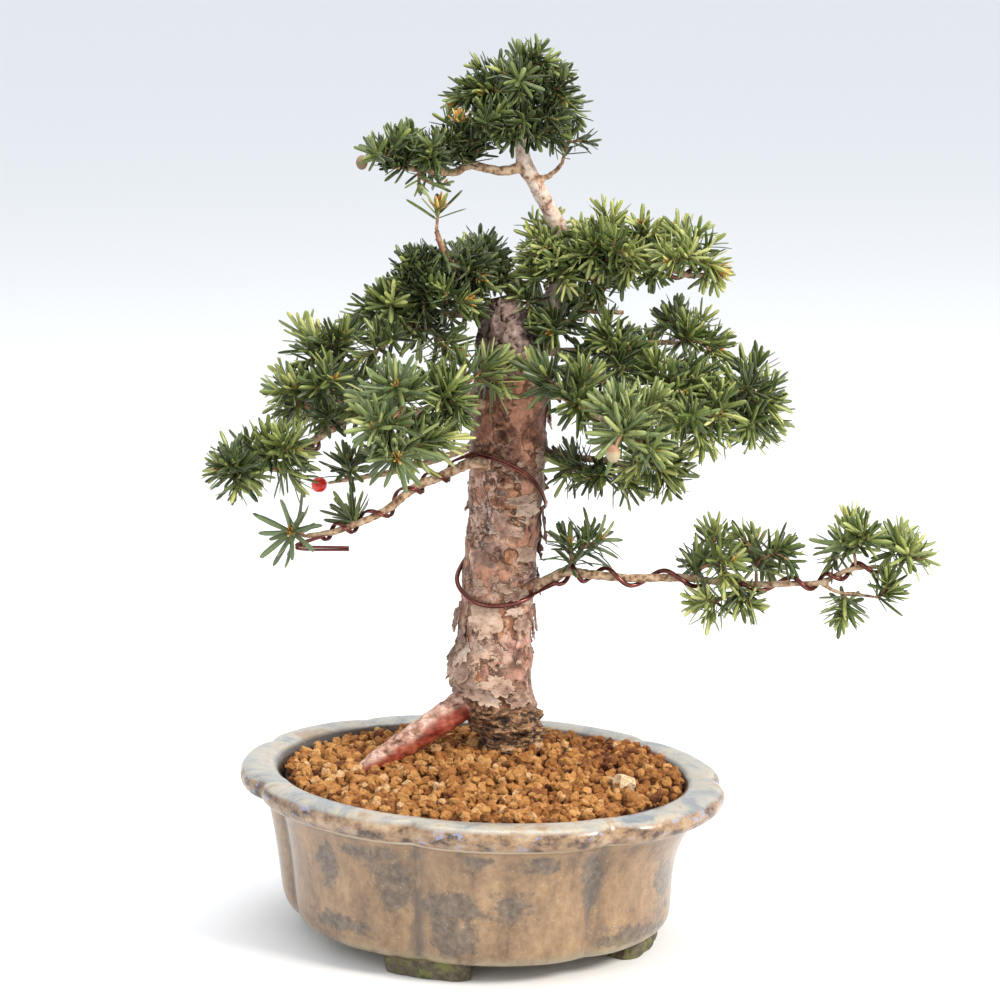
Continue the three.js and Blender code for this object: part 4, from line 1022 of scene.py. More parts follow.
def copper_finish():
    """Copper-brown anodised wire with a satin sheen and a few rubbed places."""
    wire = Finish("copper_brown_wire", roughness=0.3, metallic=0.85)
    rub = wire.band(wire.clouds(6, 4, 0.6), 0.5, 0.75)
    wire.set("Base Color", wire.blend(rub * 0.5, (0.15, 0.048, 0.038), (0.34, 0.15, 0.115)))
    wire.set("Roughness", 0.24 + rub * 0.15)
    wire.bump(wire.clouds(0.9, 3), 0.05, 0.5)
    return wire.material


def aril_finish():
    flesh = Finish("aril_flesh", roughness=0.3, coat=0.3)
    bloom = flesh.clouds(2.5, 4, 0.6)
    flesh.set("Base Color", flesh.ramp(bloom, (0.3, (0.62, 0.004, 0.004)), (0.7, (0.85, 0.03, 0.02))))
    flesh.bump(bloom, 0.1, 0.4)
    return flesh.material


def seed_finish(name, shell, cap):
    """A seed: a mottled shell, and a cap with a colour of its own."""
    seed = Finish(name, roughness=0.5)
    mottle = seed.clouds(1.5, 4, 0.6)
    color = seed.blend(mottle, shell, tuple(c * 0.7 for c in shell))
    color = seed.blend(seed.marked("cap"), color, cap)
    seed.set("Base Color", color)
    seed.bump(mottle, 0.2, 0.5)
    return seed.material


def plastic_finish():
    plastic = Finish("screen_plastic", roughness=0.7)
    dust = plastic.clouds(2, 4, 0.6)
    plastic.set("Base Color", plastic.blend(dust * 0.5, (0.02, 0.022, 0.02), (0.1, 0.07, 0.045)))
    plastic.bump(dust, 0.05, 0.4)
    return plastic.material


NEEDLE_TONES = (
    (0.0, (0.005, 0.01, 0.004)),
    (0.28, (0.018, 0.034, 0.009)),
    (0.5, (0.08, 0.118, 0.024)),
    (0.75, (0.26, 0.305, 0.075)),
    (1.0, (0.53, 0.53, 0.2)),
)
UNDER_TONES = (
    (0.0, (0.018, 0.032, 0.009)),
    (0.28, (0.07, 0.1, 0.026)),
    (0.5, (0.17, 0.21, 0.055)),
    (0.75, (0.36, 0.39, 0.11)),
    (1.0, (0.54, 0.54, 0.17)),
)
GLAZE = stoneware_glaze()
MOSSY_CLAY = mossy_clay()
BARK = old_bark()
FLAKE = bark_flake_finish()
TWIG = twig_finish()
NEEDLE_TOP = needle_finish("needle_top", NEEDLE_TONES, (0.34, 0.4, 0.13), (0.16, 0.24, 0.07))
NEEDLE_UNDER = needle_finish("needle_under", UNDER_TONES, (0.2, 0.28, 0.08), (0.24, 0.3, 0.1))
BUD = bud_finish()
CLAY = clay_finish()
COPPER = copper_finish()
ARIL = aril_finish()


# Pot


def oval_radius(angle, long_share, short_share):
    """Distance from the pot's middle to an oval with these shares of the lip's half axes."""
    turned = angle - OVAL_TURN
    along = math.cos(turned) / (LIP_LONG * long_share)
    across = math.sin(turned) / (LIP_SHORT * short_share)
    return 1 / math.hypot(along, across)


def pulled_in(angle, height):
    """The pot's right end leans in further at mid-height than its left end."""
    side = math.exp(-((math.remainder(math.degrees(angle) - LEAN_MIDDLE, 360) / LEAN_SPREAD) ** 2))
    return 1 - LEAN_IN * side * soft_step(height, 64, 46) * soft_step(height, -10, 32)


def lobe_samples(per_lobe):
    """Angles round the pot, and how near a crease between two lobes each of them lies."""
    ends = [*LOBE_ENDS, LOBE_ENDS[0] + 360]
    samples = []
    for start, end in zip(ends, ends[1:]):
        for k in range(per_lobe):
            t = k / per_lobe
            samples.append((math.radians(start + (end - start) * t), abs(2 * t - 1)))
    return samples


# Slate-dark blotches of the glaze on the pot's front: x and z of each, its half width and half height.
SLATE_PATCHES = [
    (-38, 45, 10, 6), (-12, 36, 14, 9), (16, 36, 15, 6), (-12, 21, 10, 8), (29, 60, 11, 4),
    (-52, 60, 13, 3.5), (68, 17, 14, 4), (-62, 21, 14, 4), (50, 46, 4, 16), (-70, 50, 5, 12),
    (84, 40, 5, 10), (0, 61, 8, 3),
]


# How much slate shows on the pot's back, where no blotch has a place of its own.
SLATE_BEHIND = 0.35


def make_pot():
    samples = lobe_samples(LOBE_POINTS)
    rings, grooves, slates, insides = [], [], [], []
    for row, (height, long_share, short_share, depth) in enumerate(POT_WALL):
        ring, slate = [], []
        for angle, crease in samples:
            dent = LIP_DENT * depth * crease**7 if height > LIP_FOOT else depth * crease**4
            radius = oval_radius(angle, long_share, short_share) * (1 - dent) * pulled_in(angle, height)
            wobble = noise.noise(Vector((*around(5, angle), height * 0.04)))
            radius += WALL_WOBBLE * wobble - WALL_INSET
            x, y = around(radius, angle)
            ring.append(place(x, y, height))
            slate.append(SLATE_BEHIND if y > 0 else spots(x, height, SLATE_PATCHES))
        rings.append(ring)
        slates.append(slate)
        # The groove mark holds the creases between the lobes, which the glaze darkens as painted shade.
        grooves.append([(height < LIP_FOOT) * soft_step(crease, 0.84, 1.0) for _, crease in samples])
        insides.append([float(row > INNER_ROW)] * len(samples))
    pot = raise_rings("pot_body", rings, [("groove", grooves), ("slate", slates), ("inside", insides)])
    finish_with(pot, "SUBSURF", levels=1, render_levels=1)
    smooth(pot, 50)
    dress(pot, GLAZE)
    return [pot, *[make_foot(degrees) for degrees in FOOT_ANGLES]]


def make_foot(degrees):
    """A cloud-shaped foot: a block bent along the oval, its front carved into three scallops."""
    deselect()
    bpy.ops.mesh.primitive_cube_add(size=MM)
    foot = newest("pot_foot")
    in_edit_mode(foot, lambda: bpy.ops.mesh.subdivide(number_cuts=15))
    middle = math.radians(degrees)
    half = FOOT_LENGTH / 2 / oval_radius(middle, *FOOT_SHARES)
    points = []
    for x, y, z in points_of(foot) / MM:
        angle = middle + half * 2 * x
        scallop = SCALLOP_DEPTH * abs(math.cos(3 * math.pi * x)) ** 0.6
        drop = 0.5 - z
        outer = oval_radius(angle, *FOOT_SHARES) - SCALLOP_DEPTH - (2 * abs(x)) ** 6 * 3.0
        outer = outer - (SCALLOP_DEPTH - scallop) - SCALLOP_DEPTH * drop**3
        radius = outer - FOOT_WIDTH * (0.5 - y)
        height = (z + 0.5) * (POT_BOTTOM + 2)
        grain = 0.5 * noise.noise(Vector((angle * 60, y * 6, height * 0.5)))
        points.append(place(*around(radius + grain, angle), height))
    set_points(foot, points)
    face_outwards(foot)
    smooth(foot, 60)
    dress(foot, MOSSY_CLAY)
    return foot


# Trunk, branches and root


def slim_right(height, angle):
    """How much less the trunk's foot swells on its right."""
    return RIGHT_SLIMMING * soft_step(height, 128, 104) * max(0.0, math.cos(angle))


def bark_relief(height, angle):
    """How far the trunk's broad ribs and hollows stand off its plain round."""
    flutes = 0.5 * math.sin(3 * angle + height * 0.02) + 0.35 * math.sin(5 * angle - height * 0.05)
    return flutes + 0.4 * math.sin(height * 0.31 + 2 * angle) - slim_right(height, angle)


def trunk_at(height):
    """The trunk's middle and radius at a height."""
    height = min(max(height, TRUNK[0][2]), TRUNK[-1][2])
    for low, high in zip(TRUNK, TRUNK[1:]):
        if high[2] >= height:
            share = (height - low[2]) / (high[2] - low[2])
            return [a + (b - a) * share for a, b in zip(low, high)]


# Scars where branches were cut: x and z on the trunk's front, radius of the raised lip, its height.
KNOTS = [
    (9.2, 235.8, 4.4, 2.2), (10.8, 214.6, 3.0, 1.8), (10.1, 145.5, 2.4, 1.2), (7.8, 125.7, 2.0, 1.2),
    (19.6, 96.5, 3.6, 1.8), (7.2, 222.5, 4.0, 1.6), (20.8, 172.5, 2.6, 1.6), (-1.0, 186.0, 2.0, 0.8),
]
# Scars and patches of fresh bark show only on the trunk's front: none lies further back than this.
KNOTS_END = 25
PATCHES_END = 28
# Fresh bark: x and z of each patch on the trunk's front, and its half width and half height.
ORANGE_PATCHES = [
    (16, 249, 6.5, 7.5), (21, 210, 3.2, 3.4), (23.3, 187, 3.6, 8), (1.5, 162, 3.4, 3), (1, 170, 5, 3.6),
    (11.5, 169.5, 3.2, 2.6), (-1.3, 207, 2.6, 3.4), (17, 164, 4, 2.4), (22, 230, 3, 5), (12, 154, 8, 3),
]


def knot_relief(x, y, z):
    """How far a scar's rim lifts the bark, and how much of it is rim, pit or the crack round it."""
    lift, rim, pit, crack = 0.0, 0.0, 0.0, 0.0
    if y > KNOTS_END:
        return lift, rim, pit, crack
    for knot_x, knot_z, radius, height in KNOTS:
        side, rise = x - knot_x, z - knot_z
        if math.hypot(side, rise) > radius * 2.6:
            continue
        wobble = 1.6 * turbulence(x, y, z, 4)
        far = math.hypot(side, rise * 1.15) + wobble
        fuller_below = 1 - 0.45 * rise / (abs(rise) + 0.5 * radius)
        ring = fuller_below * math.exp(-(((far - radius) / (0.4 * radius)) ** 2))
        into = math.hypot(side * 0.75, rise - 0.35 * radius) + 0.4 * wobble
        hole = math.exp(-((into / (0.3 * radius)) ** 2))
        lift += height * (0.9 * ring - 0.8 * hole)
        rim = max(rim, min(1.0, 0.8 * ring))
        pit = max(pit, hole)
        broken = soft_step(turbulence(x, y, z + 30, 4), -0.1, 0.15)
        crack = max(crack, broken * math.exp(-(((far - 1.5 * radius) / (0.14 * radius)) ** 2)))
    return lift, rim, pit, crack


class LimbFinder:
    """Finds the nearest place on any limb but the root."""

    def __init__(self):
        self.places = []
        for name, knots in LIMBS.items():
            if name != "root":
                self.places += [(name, *point) for point in smooth_path(knots, LIMB_SPACING)]
        self.tree = kdtree.KDTree(len(self.places))
        for number, (_, x, y, z, _) in enumerate(self.places):
            self.tree.insert((x, y, z), number)
        self.tree.balance()

    def nearest(self, point):
        _, number, far = self.tree.find(point)
        name, _, _, _, radius = self.places[number]
        return name, radius, far


def bark_at(point, normal, limbs, root_path):
    """How far the bark lifts at a point, and which of its finishes show there."""
    x, y, z = point
    middle = trunk_at(z)
    off = math.hypot(x - middle[0], y - middle[1]) - middle[3]
    facing = math.atan2(y - middle[1], x - middle[0])
    name, limb_radius, far = limbs.nearest(point)
    on_limb = soft_step(off, 1.0, 5.0) if far < limb_radius + 3 else 0.0
    on_limb = max(on_limb, soft_step(z, STUMP_TOP, STUMP_TOP + 2))
    root_far = 9.0
    if z < 118 and x < 8:
        root_far = min(math.dist(point, knot[:3]) - knot[3] for knot in root_path)
    on_root = soft_step(off, 0.0, 2.5) * soft_step(root_far, 3.0, 1.0)
    crown = soft_step(z + 5 * turbulence(x, y, z, 9), *CROWN_TOP) * (1 - on_root)
    dead = soft_step(z + 6 * turbulence(x, y, z, 8), *DEAD_WOOD) * (1 - on_limb)
    trunk = (1 - on_limb) * (1 - crown) * (1 - on_root) * (1 - dead)

    plate = soft_step(turbulence(x, y, z * 0.9, 14, 6), 0.1, 0.2)
    rough = turbulence(x * 1.1, y * 1.1, z * 0.8, 3, 4)
    wrinkles = turbulence(x * 0.6, y * 0.6, z * 2.4, 5, 4)
    knot_lift, knot_rim, knot_pit, knot_crack = knot_relief(x, y, z)
    layers = turbulence(x * 0.7, y * 0.7, z * 2.0, 5.5, 5)
    lumps = turbulence(x, y, z, 7, 4)
    slabs = turbulence(x * 0.9 + z * 0.35, y, z * 1.3 - x * 0.5, 19, 3) * 4
    step = slabs - math.floor(slabs)
    slab_edge = soft_step(step, 0.84, 0.98)

    move = trunk * (bark_relief(z, facing) + 0.45 * plate + 0.28 * rough + 0.22 * wrinkles - 0.3 + knot_lift)
    move += crown * (2.8 * layers + 2.2 * lumps + 0.2 - slim_right(z, facing) + knot_lift * (1 - trunk))
    move -= crown * 2.8 * soft_step(z, 98, 84) * max(0.0, -math.cos(facing))
    move += dead * (1 - crown) * (1.1 * (math.floor(slabs) % 2) + 0.9 * step - 2.0 * slab_edge - 0.5)
    move += on_limb * 0.45 * turbulence(x, y, z, 2.4, 3) * min(1.0, limb_radius / 2)
    move += on_root * (0.9 + 0.8 * turbulence(x, y, z * 0.7, 4, 4) + 0.35 * rough)

    under = 0.55 * normal[0] - 0.75 * normal[2] - 0.25 * normal[1] + 0.5 * turbulence(x, y, z, 9)
    under = soft_step(under, -0.4, 0.5)
    degrees = math.degrees(facing)
    low_right = soft_step(z, 150, 138) * soft_step(degrees, -80, -60) * soft_step(degrees, 20, 0)
    streak = soft_step(turbulence(x * 1.3, y, z * 0.6 + 90, 11, 4), 0.08, 0.3)
    fresh = 0.0 if y > PATCHES_END else spots(x, z, ORANGE_PATCHES)
    between_layers = crown * soft_step(layers, -0.15, -0.35)
    return move, {
        "trunk": trunk,
        "rust": max(
            soft_step(z + 16 * turbulence(x + 9, y, z, 20), 216, 236) * trunk * (1 - 0.6 * knot_rim),
            on_limb * (name == "left_upright"),
        ),
        "orange": (fresh * 0.5 + 0.16) * trunk * (1 - knot_rim),
        "pale": max(streak * 0.8, knot_rim * 0.8) * trunk * soft_step(z, 246, 222),
        "salmon": low_right * trunk,
        "twig": on_limb * {"leader": 0.0, "left_upright": 0.25}.get(name, 1.0),
        "leader": on_limb * (1.0 if name == "leader" else 0.0),
        "red": on_root * under,
        "skin": on_root,
        "crown": crown,
        "dead": dead,
        "shade": max(knot_pit * 0.85, knot_crack * 0.75, dead * slab_edge * 0.9, between_layers),
    }


def make_tree():
    parts = [drawn("trunk", smooth_path(TRUNK, 4), TRUNK_SIDES)]
    for name, knots in LIMBS.items():
        parts.append(drawn(name, smooth_path(knots, LIMB_SPACING), LIMB_SIDES))
    tree = merge("tree_bark", parts)
    finish_with(tree, "REMESH", mode="VOXEL", voxel_size=BARK_GRAIN * MM)
    finish_with(tree, "SMOOTH", factor=0.5, iterations=2)
    normals = np.zeros(len(tree.data.vertices) * 3)
    tree.data.vertices.foreach_get("normal", normals)
    normals = normals.reshape(-1, 3)
    points = (points_of(tree) - np.array(POT_MIDDLE)) / MM
    limbs = LimbFinder()
    root_path = smooth_path(LIMBS["root"], LIMB_SPACING)
    moves = []
    marks = {}
    for point, normal in zip(points, normals):
        move, shown = bark_at(point, normal, limbs, root_path)
        moves.append(move)
        for name, value in shown.items():
            marks.setdefault(name, []).append(value)
    moved = points + normals * np.array(moves)[:, None]
    set_points(tree, moved * MM + np.array(POT_MIDDLE))
    for name, values in marks.items():
        mark(tree.data, name, values)
    smooth(tree)
    dress(tree, BARK)
    return tree


# Loose flakes: height, the way each faces, its own height and width, how far its foot and its top
# stand off, how dark and red it is, and whether it curls from its left (-1) or right (1) edge.
FLAKES = [
    (229, -38, 2.2, 6, 1.8, 0.4, 0.1, 0), (224, -36, 7, 5, 1.8, 0.4, 0.1, 1),
    (209.5, -99, 3, 5.5, 1.7, 0.4, 0.1, 0), (206, -66, 3.2, 14, 1.8, 0.2, 0.0, 0),
    (201, -58, 6, 11, 2.2, 0.3, 0.0, 1), (189.5, -69, 2.4, 6, 1.6, 0.3, 0.0, 0),
    (179.5, -55, 6, 7.5, 2.6, 0.3, 0.0, 1), (172.6, -52, 2.8, 6, 2.0, 0.4, 0.1, 0),
    (163.8, -81, 3.6, 10, 2.6, 0.3, 0.0, 0), (160.4, -69, 5.5, 8.5, 2.8, 0.3, 0.1, 1),
    (162, -118, 4, 6, 1.8, 0.3, 0.1, -1), (148.5, -106, 15, 14, 3.8, 0.3, 0.0, -1),
    (152, -62, 4, 8, 2.0, 0.3, 0.1, 0), (145, -50, 9, 7, 1.8, 0.3, 0.0, 1),
    (158, -48, 4, 8, 2.0, 0.4, 0.1, 0), (192, -4, 17, 8, 3.6, 1.0, 0.9, 1),
    (180, 6, 10, 6, 2.6, 0.5, 0.8, -1), (163, -4, 11, 4, 3.4, 0.5, 0.7, 1),
    (146, -6, 12, 4, 2.6, 0.5, 0.6, 0), (146, 186, 13, 8, 3.4, 0.5, 0.2, -1),
    (139, 204, 12, 11, 2.6, 0.4, 0.1, 1), (131, 190, 12, 9, 3.6, 0.4, 0.3, -1),
    (132, 214, 12, 10, 2.4, 0.3, 0.0, 1), (124, 196, 12, 12, 4.2, 0.4, 0.1, -1),
    (125, 218, 12, 13, 3.0, 0.3, 0.0, 0), (120, 232, 11, 11, 3.0, 0.3, 0.1, 1),
    (117, 204, 10, 12, 4.4, 0.4, 0.1, 0), (114, 240, 8, 11, 3.2, 0.3, 0.1, -1),
    (111, 256, 7, 9, 3.2, 0.3, 0.0, 1), (117, -84, 9, 15, 3.0, 0.1, 0.0, 0),
    (110, -58, 7, 12, 3.2, 0.1, 0.0, 1), (109, -30, 5, 8, 2.4, 0.2, 0.0, 0),
]


def draw_flakes(draw):
    """More flakes than the listed ones: mostly round the back, and a few small ones in front."""
    flakes = []
    for _ in range(BACK_FLAKES):
        tall = draw.uniform(4, 11)
        curl = draw.choice((-1, 0, 1))
        facing = draw.uniform(0, 165)
        wide = tall * draw.uniform(0.6, 1.2)
        height = draw.uniform(112, 262)
        flakes.append((height, facing, tall, wide, draw.uniform(1.4, 3.2), 0.4, draw.random() * 0.5, curl))
    for _ in range(SMALL_FLAKES):
        facing = draw.uniform(-160, -30)
        height = draw.uniform(118, 258)
        tall = draw.uniform(1.4, 2.8)
        wide = draw.uniform(3, 6)
        flakes.append((height, facing, tall, wide, draw.uniform(0.9, 1.5), 0.3, draw.random() * 0.3, 0))
    return flakes


def make_flake(number, tone, height, facing, tall, wide, foot, top, dark, curl):
    """A thin sheet with a ragged edge, bent round the trunk and curled off it."""
    deselect()
    bpy.ops.mesh.primitive_grid_add(x_subdivisions=FLAKE_GRID, y_subdivisions=FLAKE_GRID, size=MM)
    flake = newest("flake")
    points, edges = [], []
    for x, y, _ in points_of(flake) / MM:
        u, v = 2 * x, 2 * y
        edges.append(soft_step(max(abs(u), abs(v)), 0.85, 1.0))
        ragged = 1 + 0.5 * turbulence(u * 1.8 + number * 7, v * 1.8, number * 3.1, 1, 5)
        u, v = u * ragged * (1 - 0.25 * v * v), v * ragged * (1 - 0.2 * u * u)
        level = height + v * tall / 2 + 0.12 * wide * u * (0.5 - (number % 3) * 0.5)
        middle = trunk_at(level)
        angle = math.radians(facing) + u * wide / 2 / middle[3]
        off = top + (foot - top) * max(0.0, (1 - v) / 2) ** 1.8 + 1.2 * max(0.0, u * curl) ** 2
        off += 0.5 * noise.noise(Vector((u * 2.5, v * 2.5, number * 1.7)))
        x, y = around(middle[3] + bark_relief(level, angle) + off, angle)
        points.append(place(middle[0] + x, middle[1] + y, level))
    set_points(flake, points)
    mark(flake.data, "edge", edges)
    mark(flake.data, "tone", tone)
    mark(flake.data, "dark", dark)
    finish_with(flake, "SOLIDIFY", thickness=FLAKE_THICKNESS * MM, offset=-1)
    return flake


def make_flakes():
    draw = random.Random(31)
    flakes = [*FLAKES, *draw_flakes(draw)]
    made = [make_flake(number, draw.random(), *flake) for number, flake in enumerate(flakes)]
    flakes = merge("bark_flakes", made)
    face_outwards(flakes)
    smooth(flakes, 45)
    dress(flakes, FLAKE)
    return flakes


# Soil


def soil_height(x, y):
    """The soil rises to the trunk."""
    towards_trunk = math.exp(-(((x - 12) / 55) ** 2) - ((y - 20) / 45) ** 2)
    return SOIL_EDGE + SOIL_RISE * towards_trunk + SOIL_FILL * towards_front(x, y)


def towards_front(x, y):
    """The soil lies against the rim in front and on the right, and lower behind on the left."""
    return soft_step(0.7 * x - y, -30, 45)


def soil_ring(height, share, long_share, short_share, lower=None):
    """A ring of the mound: level along the pot's wall, or so far below the soil's top."""
    ring = []
    for k in range(RING_POINTS):
        angle = 2 * math.pi * k / RING_POINTS
        radius = (oval_radius(angle, long_share, short_share) - 0.7) * share
        if lower is None:
            radius *= pulled_in(angle, height)
        x, y = around(radius, angle)
        ring.append(place(x, y, height if lower is None else soil_height(x, y) - lower))
    return ring


def make_mound():
    rings = [soil_ring(16, 1, 0.67, 0.73), soil_ring(24, 1, 0.72, 0.79)]
    rings += [soil_ring(0, share, *SOIL_TOP, lower=3) for share in (1.0, 0.95, 0.85, 0.7, 0.5, 0.3, 0.12)]
    mound = raise_rings("mound", rings)
    # Painted shade: the mound under the granules is near black, so the gaps between them read dark.
    mark(mound.data, "tone", 0.05)
    return mound


def granule_shapes(subdivisions):
    """A few crumbly balls of clay about 2 mm across, to be copied."""
    shapes = []
    for kind in range(GRANULE_KINDS):
        deselect()
        bpy.ops.mesh.primitive_ico_sphere_add(subdivisions=subdivisions, radius=1)
        grain = bpy.context.object
        points = []
        for p in points_of(grain):
            bulge = 1 + 0.5 * noise.noise(Vector(p) * 1.3 + Vector((kind * 9.7, 0, 0)))
            points.append(p * (bulge + 0.34 * noise.noise(Vector(p) * 2.6 + Vector((kind, 5, 0)))))
        set_points(grain, points)
        shapes.append(grain)
    return shapes


def lay_granule(draw, shape, x, y, z, size, tone):
    mesh = shape.data.copy()
    turn = Euler([draw.uniform(0, 2 * math.pi) for _ in range(3)]).to_matrix().to_4x4()
    stretch = Matrix.Diagonal([size * MM * draw.uniform(0.8, 1.2) for _ in range(3)]).to_4x4()
    mesh.transform(Matrix.Translation(place(x, y, z)) @ turn @ stretch)
    mark(mesh, "tone", tone)
    return link("granule", mesh)


def link(name, mesh):
    piece = bpy.data.objects.new(name, mesh)
    bpy.context.collection.objects.link(piece)
    return piece


def make_soil():
    """A mound of clay, and on it the granules, each turned and sized anew."""
    draw = random.Random(17)
    shown = granule_shapes(2)
    buried = granule_shapes(1)
    pieces = [make_mound()]
    middle = trunk_at(80)
    for lift, keep, small, large in GRANULE_LAYERS:
        for row in range(int(2 * LIP_LONG / (GRANULE_PITCH * ROW_SHARE)) + 1):
            for column in range(int(2 * LIP_LONG / GRANULE_PITCH) + 1):
                shift = draw.uniform(-GRANULE_SHIFT, GRANULE_SHIFT)
                x = -LIP_LONG + (column + 0.5 * (row % 2)) * GRANULE_PITCH + shift
                shift = draw.uniform(-GRANULE_SHIFT, GRANULE_SHIFT)
                y = -LIP_LONG + row * GRANULE_PITCH * ROW_SHARE + shift
                size = draw.uniform(small, large)
                kept = draw.random() < keep
                reach = oval_radius(math.atan2(y, x), *SOIL_TOP) + 2.6 * towards_front(x, y) - size - 0.6
                inside = math.hypot(x, y) < reach
                clear = math.hypot(x - middle[0], y - middle[1]) > middle[3] - 3
                if not (kept and inside and clear):
                    continue
                z = soil_height(x, y) + lift + draw.uniform(-0.8, 0.8)
                damp = soft_step(x * 0.8 + y + 30 * turbulence(x, y, 0, 26), 0, 50)
                # The lowest layer of granules is darker: painted shade between the granules above it.
                tone = draw.gauss(0.67, 0.13) - 0.13 * damp - (0.18 if lift < -1 else 0)
                tone = min(PALEST_GRANULE, max(0.05, tone))
                shape = draw.choice(buried if lift < -1 else shown)
                pieces.append(lay_granule(draw, shape, x, y, z, size, tone))
    pieces.append(lay_granule(draw, shown[0], *PALE_STONE, soil_height(*PALE_STONE) + 0.6, 5.6, 1.0))
    for shape in shown + buried:
        bpy.data.objects.remove(shape)
    soil = merge("clay_soil", pieces)
    dress(soil, CLAY)
    return soil


# Foliage


def curve_point(curve, t):
    """A place at a share t along a twig that bends towards its elbow."""
    start, elbow, tip = curve
    return start * (1 - t) ** 2 + elbow * (2 * t * (1 - t)) + tip * t * t


def needle_shape():
    """One needle, a millimetre long and wide: a thin four-sided blade with a rib above and a blunt tip."""
    rows = len(NEEDLE_ROWS) - 1
    deselect()
    bpy.ops.mesh.primitive_cylinder_add(vertices=4, radius=1, depth=rows)
    needle = bpy.context.object
    needle.name = "needle"
    cut_level(needle, [k - rows / 2 for k in range(1, rows)])
    points, shares = [], []
    for across, up, height in points_of(needle):
        along, width = NEEDLE_ROWS[round(height + rows / 2)]
        lift = NEEDLE_RIB * max(0.0, up) - NEEDLE_THICKNESS * (max(0.0, -up) + 0.5 * abs(across))
        points.append((across * width / 2, along, lift * width))
        shares.append((0.5 + across / 2, along))
    set_points(needle, points)
    face_outwards(needle)
    strip = needle.data.uv_layers["UVMap"].data
    for corner in needle.data.loops:
        strip[corner.index].uv = shares[corner.vertex_index]
    dress(needle, NEEDLE_TOP, NEEDLE_UNDER, BUD)
    for face in needle.data.polygons:
        face.material_index = int(face.normal.z < 0)
    smooth(needle)
    return needle


def twig_shape():
    """One twig, to be bent along its own curve: its points hold two shares across and one along."""
    deselect()
    bpy.ops.mesh.primitive_cylinder_add(vertices=6, radius=1, depth=1, end_fill_type="TRIFAN")
    twig = bpy.context.object
    cut_level(twig, [-0.5 + k / TWIG_ROWS for k in range(1, TWIG_ROWS)])
    bpy.ops.object.shade_smooth()
    twig.data.materials.clear()
    return twig


def square_to(direction, turn):
    """A direction square to another one, turned round it."""
    across = direction.orthogonal().normalized()
    across.rotate(Matrix.Rotation(turn, 3, direction))
    return across


def leaning(direction, across, lean):
    return across * math.sin(lean) + direction * math.cos(lean)


